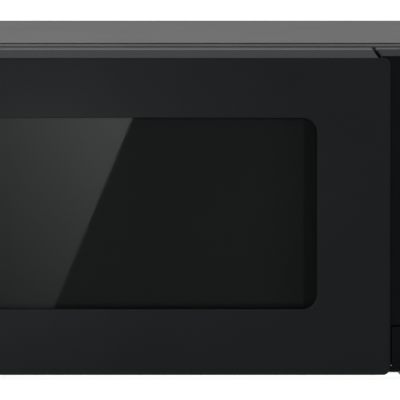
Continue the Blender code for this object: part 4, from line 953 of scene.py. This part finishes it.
# ------------------------------------------------------------------------ studio
def make_floor():
    """Pale lit table that the oven stands on."""
    bpy.ops.mesh.primitive_plane_add(size=2 * FLOOR_HALF, location=(0.0, 0.0, 0.0))
    floor = bpy.context.active_object
    floor.name = "studio_floor"
    made, tree, shader = new_material("studio_floor")
    shader.inputs["Base Color"].default_value = (0.80, 0.80, 0.80, 1.0)
    shader.inputs["Roughness"].default_value = 1.0
    shader.inputs["Specular IOR Level"].default_value = 0.0
    shader.inputs["Emission Color"].default_value = (1.0, 1.0, 1.0, 1.0)
    shader.inputs["Emission Strength"].default_value = FLOOR_GLOW
    floor.data.materials.append(made)


def make_world():
    """Soft surroundings: brightest above and behind, dim on the side that the door faces."""
    world = bpy.data.worlds.new("studio")
    world.use_nodes = True
    tree = world.node_tree
    bpy.context.scene.world = world
    back = tree.nodes["Background"]
    where = tree.nodes.new("ShaderNodeTexCoord")
    split = tree.nodes.new("ShaderNodeSeparateXYZ")
    tree.links.new(where.outputs["Generated"], split.inputs["Vector"])
    depth = map_range(tree, split.outputs["Y"], -0.6, 0.6, WORLD_FRONT, WORLD_BACK)
    height = map_range(tree, split.outputs["Z"], 0.1, 0.9, 0.0, WORLD_TOP)
    total = combine(tree, "ADD", depth, height)
    tree.links.new(total, back.inputs["Strength"])
    back.inputs["Color"].default_value = (1.0, 1.0, 1.0, 1.0)


def make_light(name, where, target, size, power):
    """Square softbox aimed at a point."""
    data = bpy.data.lights.new(name, "AREA")
    data.size = size
    data.energy = power
    item = bpy.data.objects.new(name, data)
    bpy.context.scene.collection.objects.link(item)
    item.location = where
    item.rotation_euler = (Vector(target) - Vector(where)).to_track_quat("-Z", "Y").to_euler()
    item.visible_camera = False


def make_camera():
    """Long lens, square to the door and looking down on it a little."""
    data = bpy.data.cameras.new("camera")
    data.sensor_width = SENSOR_WIDTH
    data.lens = SENSOR_WIDTH * CAMERA_DISTANCE / VIEW_WIDTH
    data.clip_end = 200.0
    item = bpy.data.objects.new("camera", data)
    bpy.context.scene.collection.objects.link(item)
    pitch = math.radians(CAMERA_PITCH)
    target = Vector((0.0, FRONT_Y, VIEW_HEIGHT_CENTRE))
    back = Vector((0.0, -math.cos(pitch), math.sin(pitch)))
    item.location = target + back * CAMERA_DISTANCE
    item.rotation_euler = (-back).to_track_quat("-Z", "Y").to_euler()
    bpy.context.scene.camera = item
    return item


def stage_card(card):
    """Keep a card out of everything but reflections."""
    card.visible_camera = False
    card.visible_diffuse = False
    card.visible_shadow = False
    card.visible_transmission = False


def make_glare_card(camera):
    """Light card with a slanting edge, seen only in reflections in the window."""
    glass_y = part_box("door_window")[0].y
    eye = camera.location
    mirror = Vector((eye.x, 2 * glass_y - eye.y, eye.z))

    def on_card(x, z):
        """Where the camera's ray by way of a window point meets the card."""
        ray = Vector((x, glass_y, z)) - mirror
        return Vector((x, glass_y, z)) + ray * (GLARE_DISTANCE / abs(ray.y))

    top, bottom = WINDOW_HIGH + 0.004, WINDOW_LOW - 0.001
    corners = [on_card(GLARE_EDGE_LOW, bottom), on_card(GLARE_EDGE_TOP, top),
               on_card(GLARE_FAR_LEFT, top), on_card(GLARE_FAR_LEFT, bottom)]
    bm = bmesh.new()
    bm.faces.new([bm.verts.new(point) for point in corners])
    mesh = bpy.data.meshes.new("glare_card")
    bm.to_mesh(mesh)
    bm.free()
    card = bpy.data.objects.new("glare_card", mesh)
    bpy.context.scene.collection.objects.link(card)
    made, tree, shader = new_material("glare_card")
    where = tree.nodes.new("ShaderNodeTexCoord")
    split = tree.nodes.new("ShaderNodeSeparateXYZ")
    tree.links.new(where.outputs["Object"], split.inputs["Vector"])
    upward = map_range(tree, split.outputs["Z"], -0.05, 0.16, 0.16, 1.0)
    sideways = map_range(tree, split.outputs["X"], -0.20, -0.08, 0.42, 1.0)
    product = combine(tree, "MULTIPLY", upward, sideways)
    power = combine(tree, "MULTIPLY", product, GLARE_STRENGTH)
    light = tree.nodes.new("ShaderNodeEmission")
    tree.links.new(power, light.inputs["Strength"])
    tree.links.new(light.outputs[0], tree.nodes["Material Output"].inputs["Surface"])
    mesh.materials.append(made)
    stage_card(card)


def make_dark_card():
    """Dark card in front of the oven, seen only in reflections in its upright faces."""
    sides = (-DARK_HALF, DARK_HALF)
    bm = bmesh.new()
    low_edge = [bm.verts.new((x, DARK_NEAR, DARK_LIFT)) for x in sides]
    fold = [bm.verts.new((x, DARK_FAR, DARK_LIFT)) for x in sides]
    top_edge = [bm.verts.new((x, DARK_FAR, DARK_TOP)) for x in sides]
    bm.faces.new((low_edge[0], low_edge[1], fold[1], fold[0]))
    bm.faces.new((fold[0], fold[1], top_edge[1], top_edge[0]))
    mesh = bpy.data.meshes.new("dark_card")
    bm.to_mesh(mesh)
    bm.free()
    card = bpy.data.objects.new("dark_card", mesh)
    bpy.context.scene.collection.objects.link(card)
    made, tree, shader = new_material("dark_card")
    shader.inputs["Base Color"].default_value = (0.0, 0.0, 0.0, 1.0)
    shader.inputs["Specular IOR Level"].default_value = 0.0
    shader.inputs["Emission Color"].default_value = (1.0, 1.0, 1.0, 1.0)
    shader.inputs["Emission Strength"].default_value = CARD_GLOW
    card.data.materials.append(made)
    stage_card(card)


def make_studio():
    """Floor, surroundings, softboxes, cards and camera."""
    bpy.context.scene.view_settings.view_transform = "Standard"
    make_floor()
    make_world()
    for row in LIGHTS:
        make_light(*row)
    make_dark_card()
    make_glare_card(make_camera())


make_door_skin()
make_window()
make_screen()
make_choke_cover()
make_cabinet()
make_front_plate()
make_cavity()
make_rear()
make_gland()
make_feet()
make_panel()
make_keys()
make_button()
make_coil("button_spring", "Y", "chassis")
make_coil("hook_spring", "Z", "door")
make_glass_plate()
make_rollers()
dress_nodes()
make_studio()
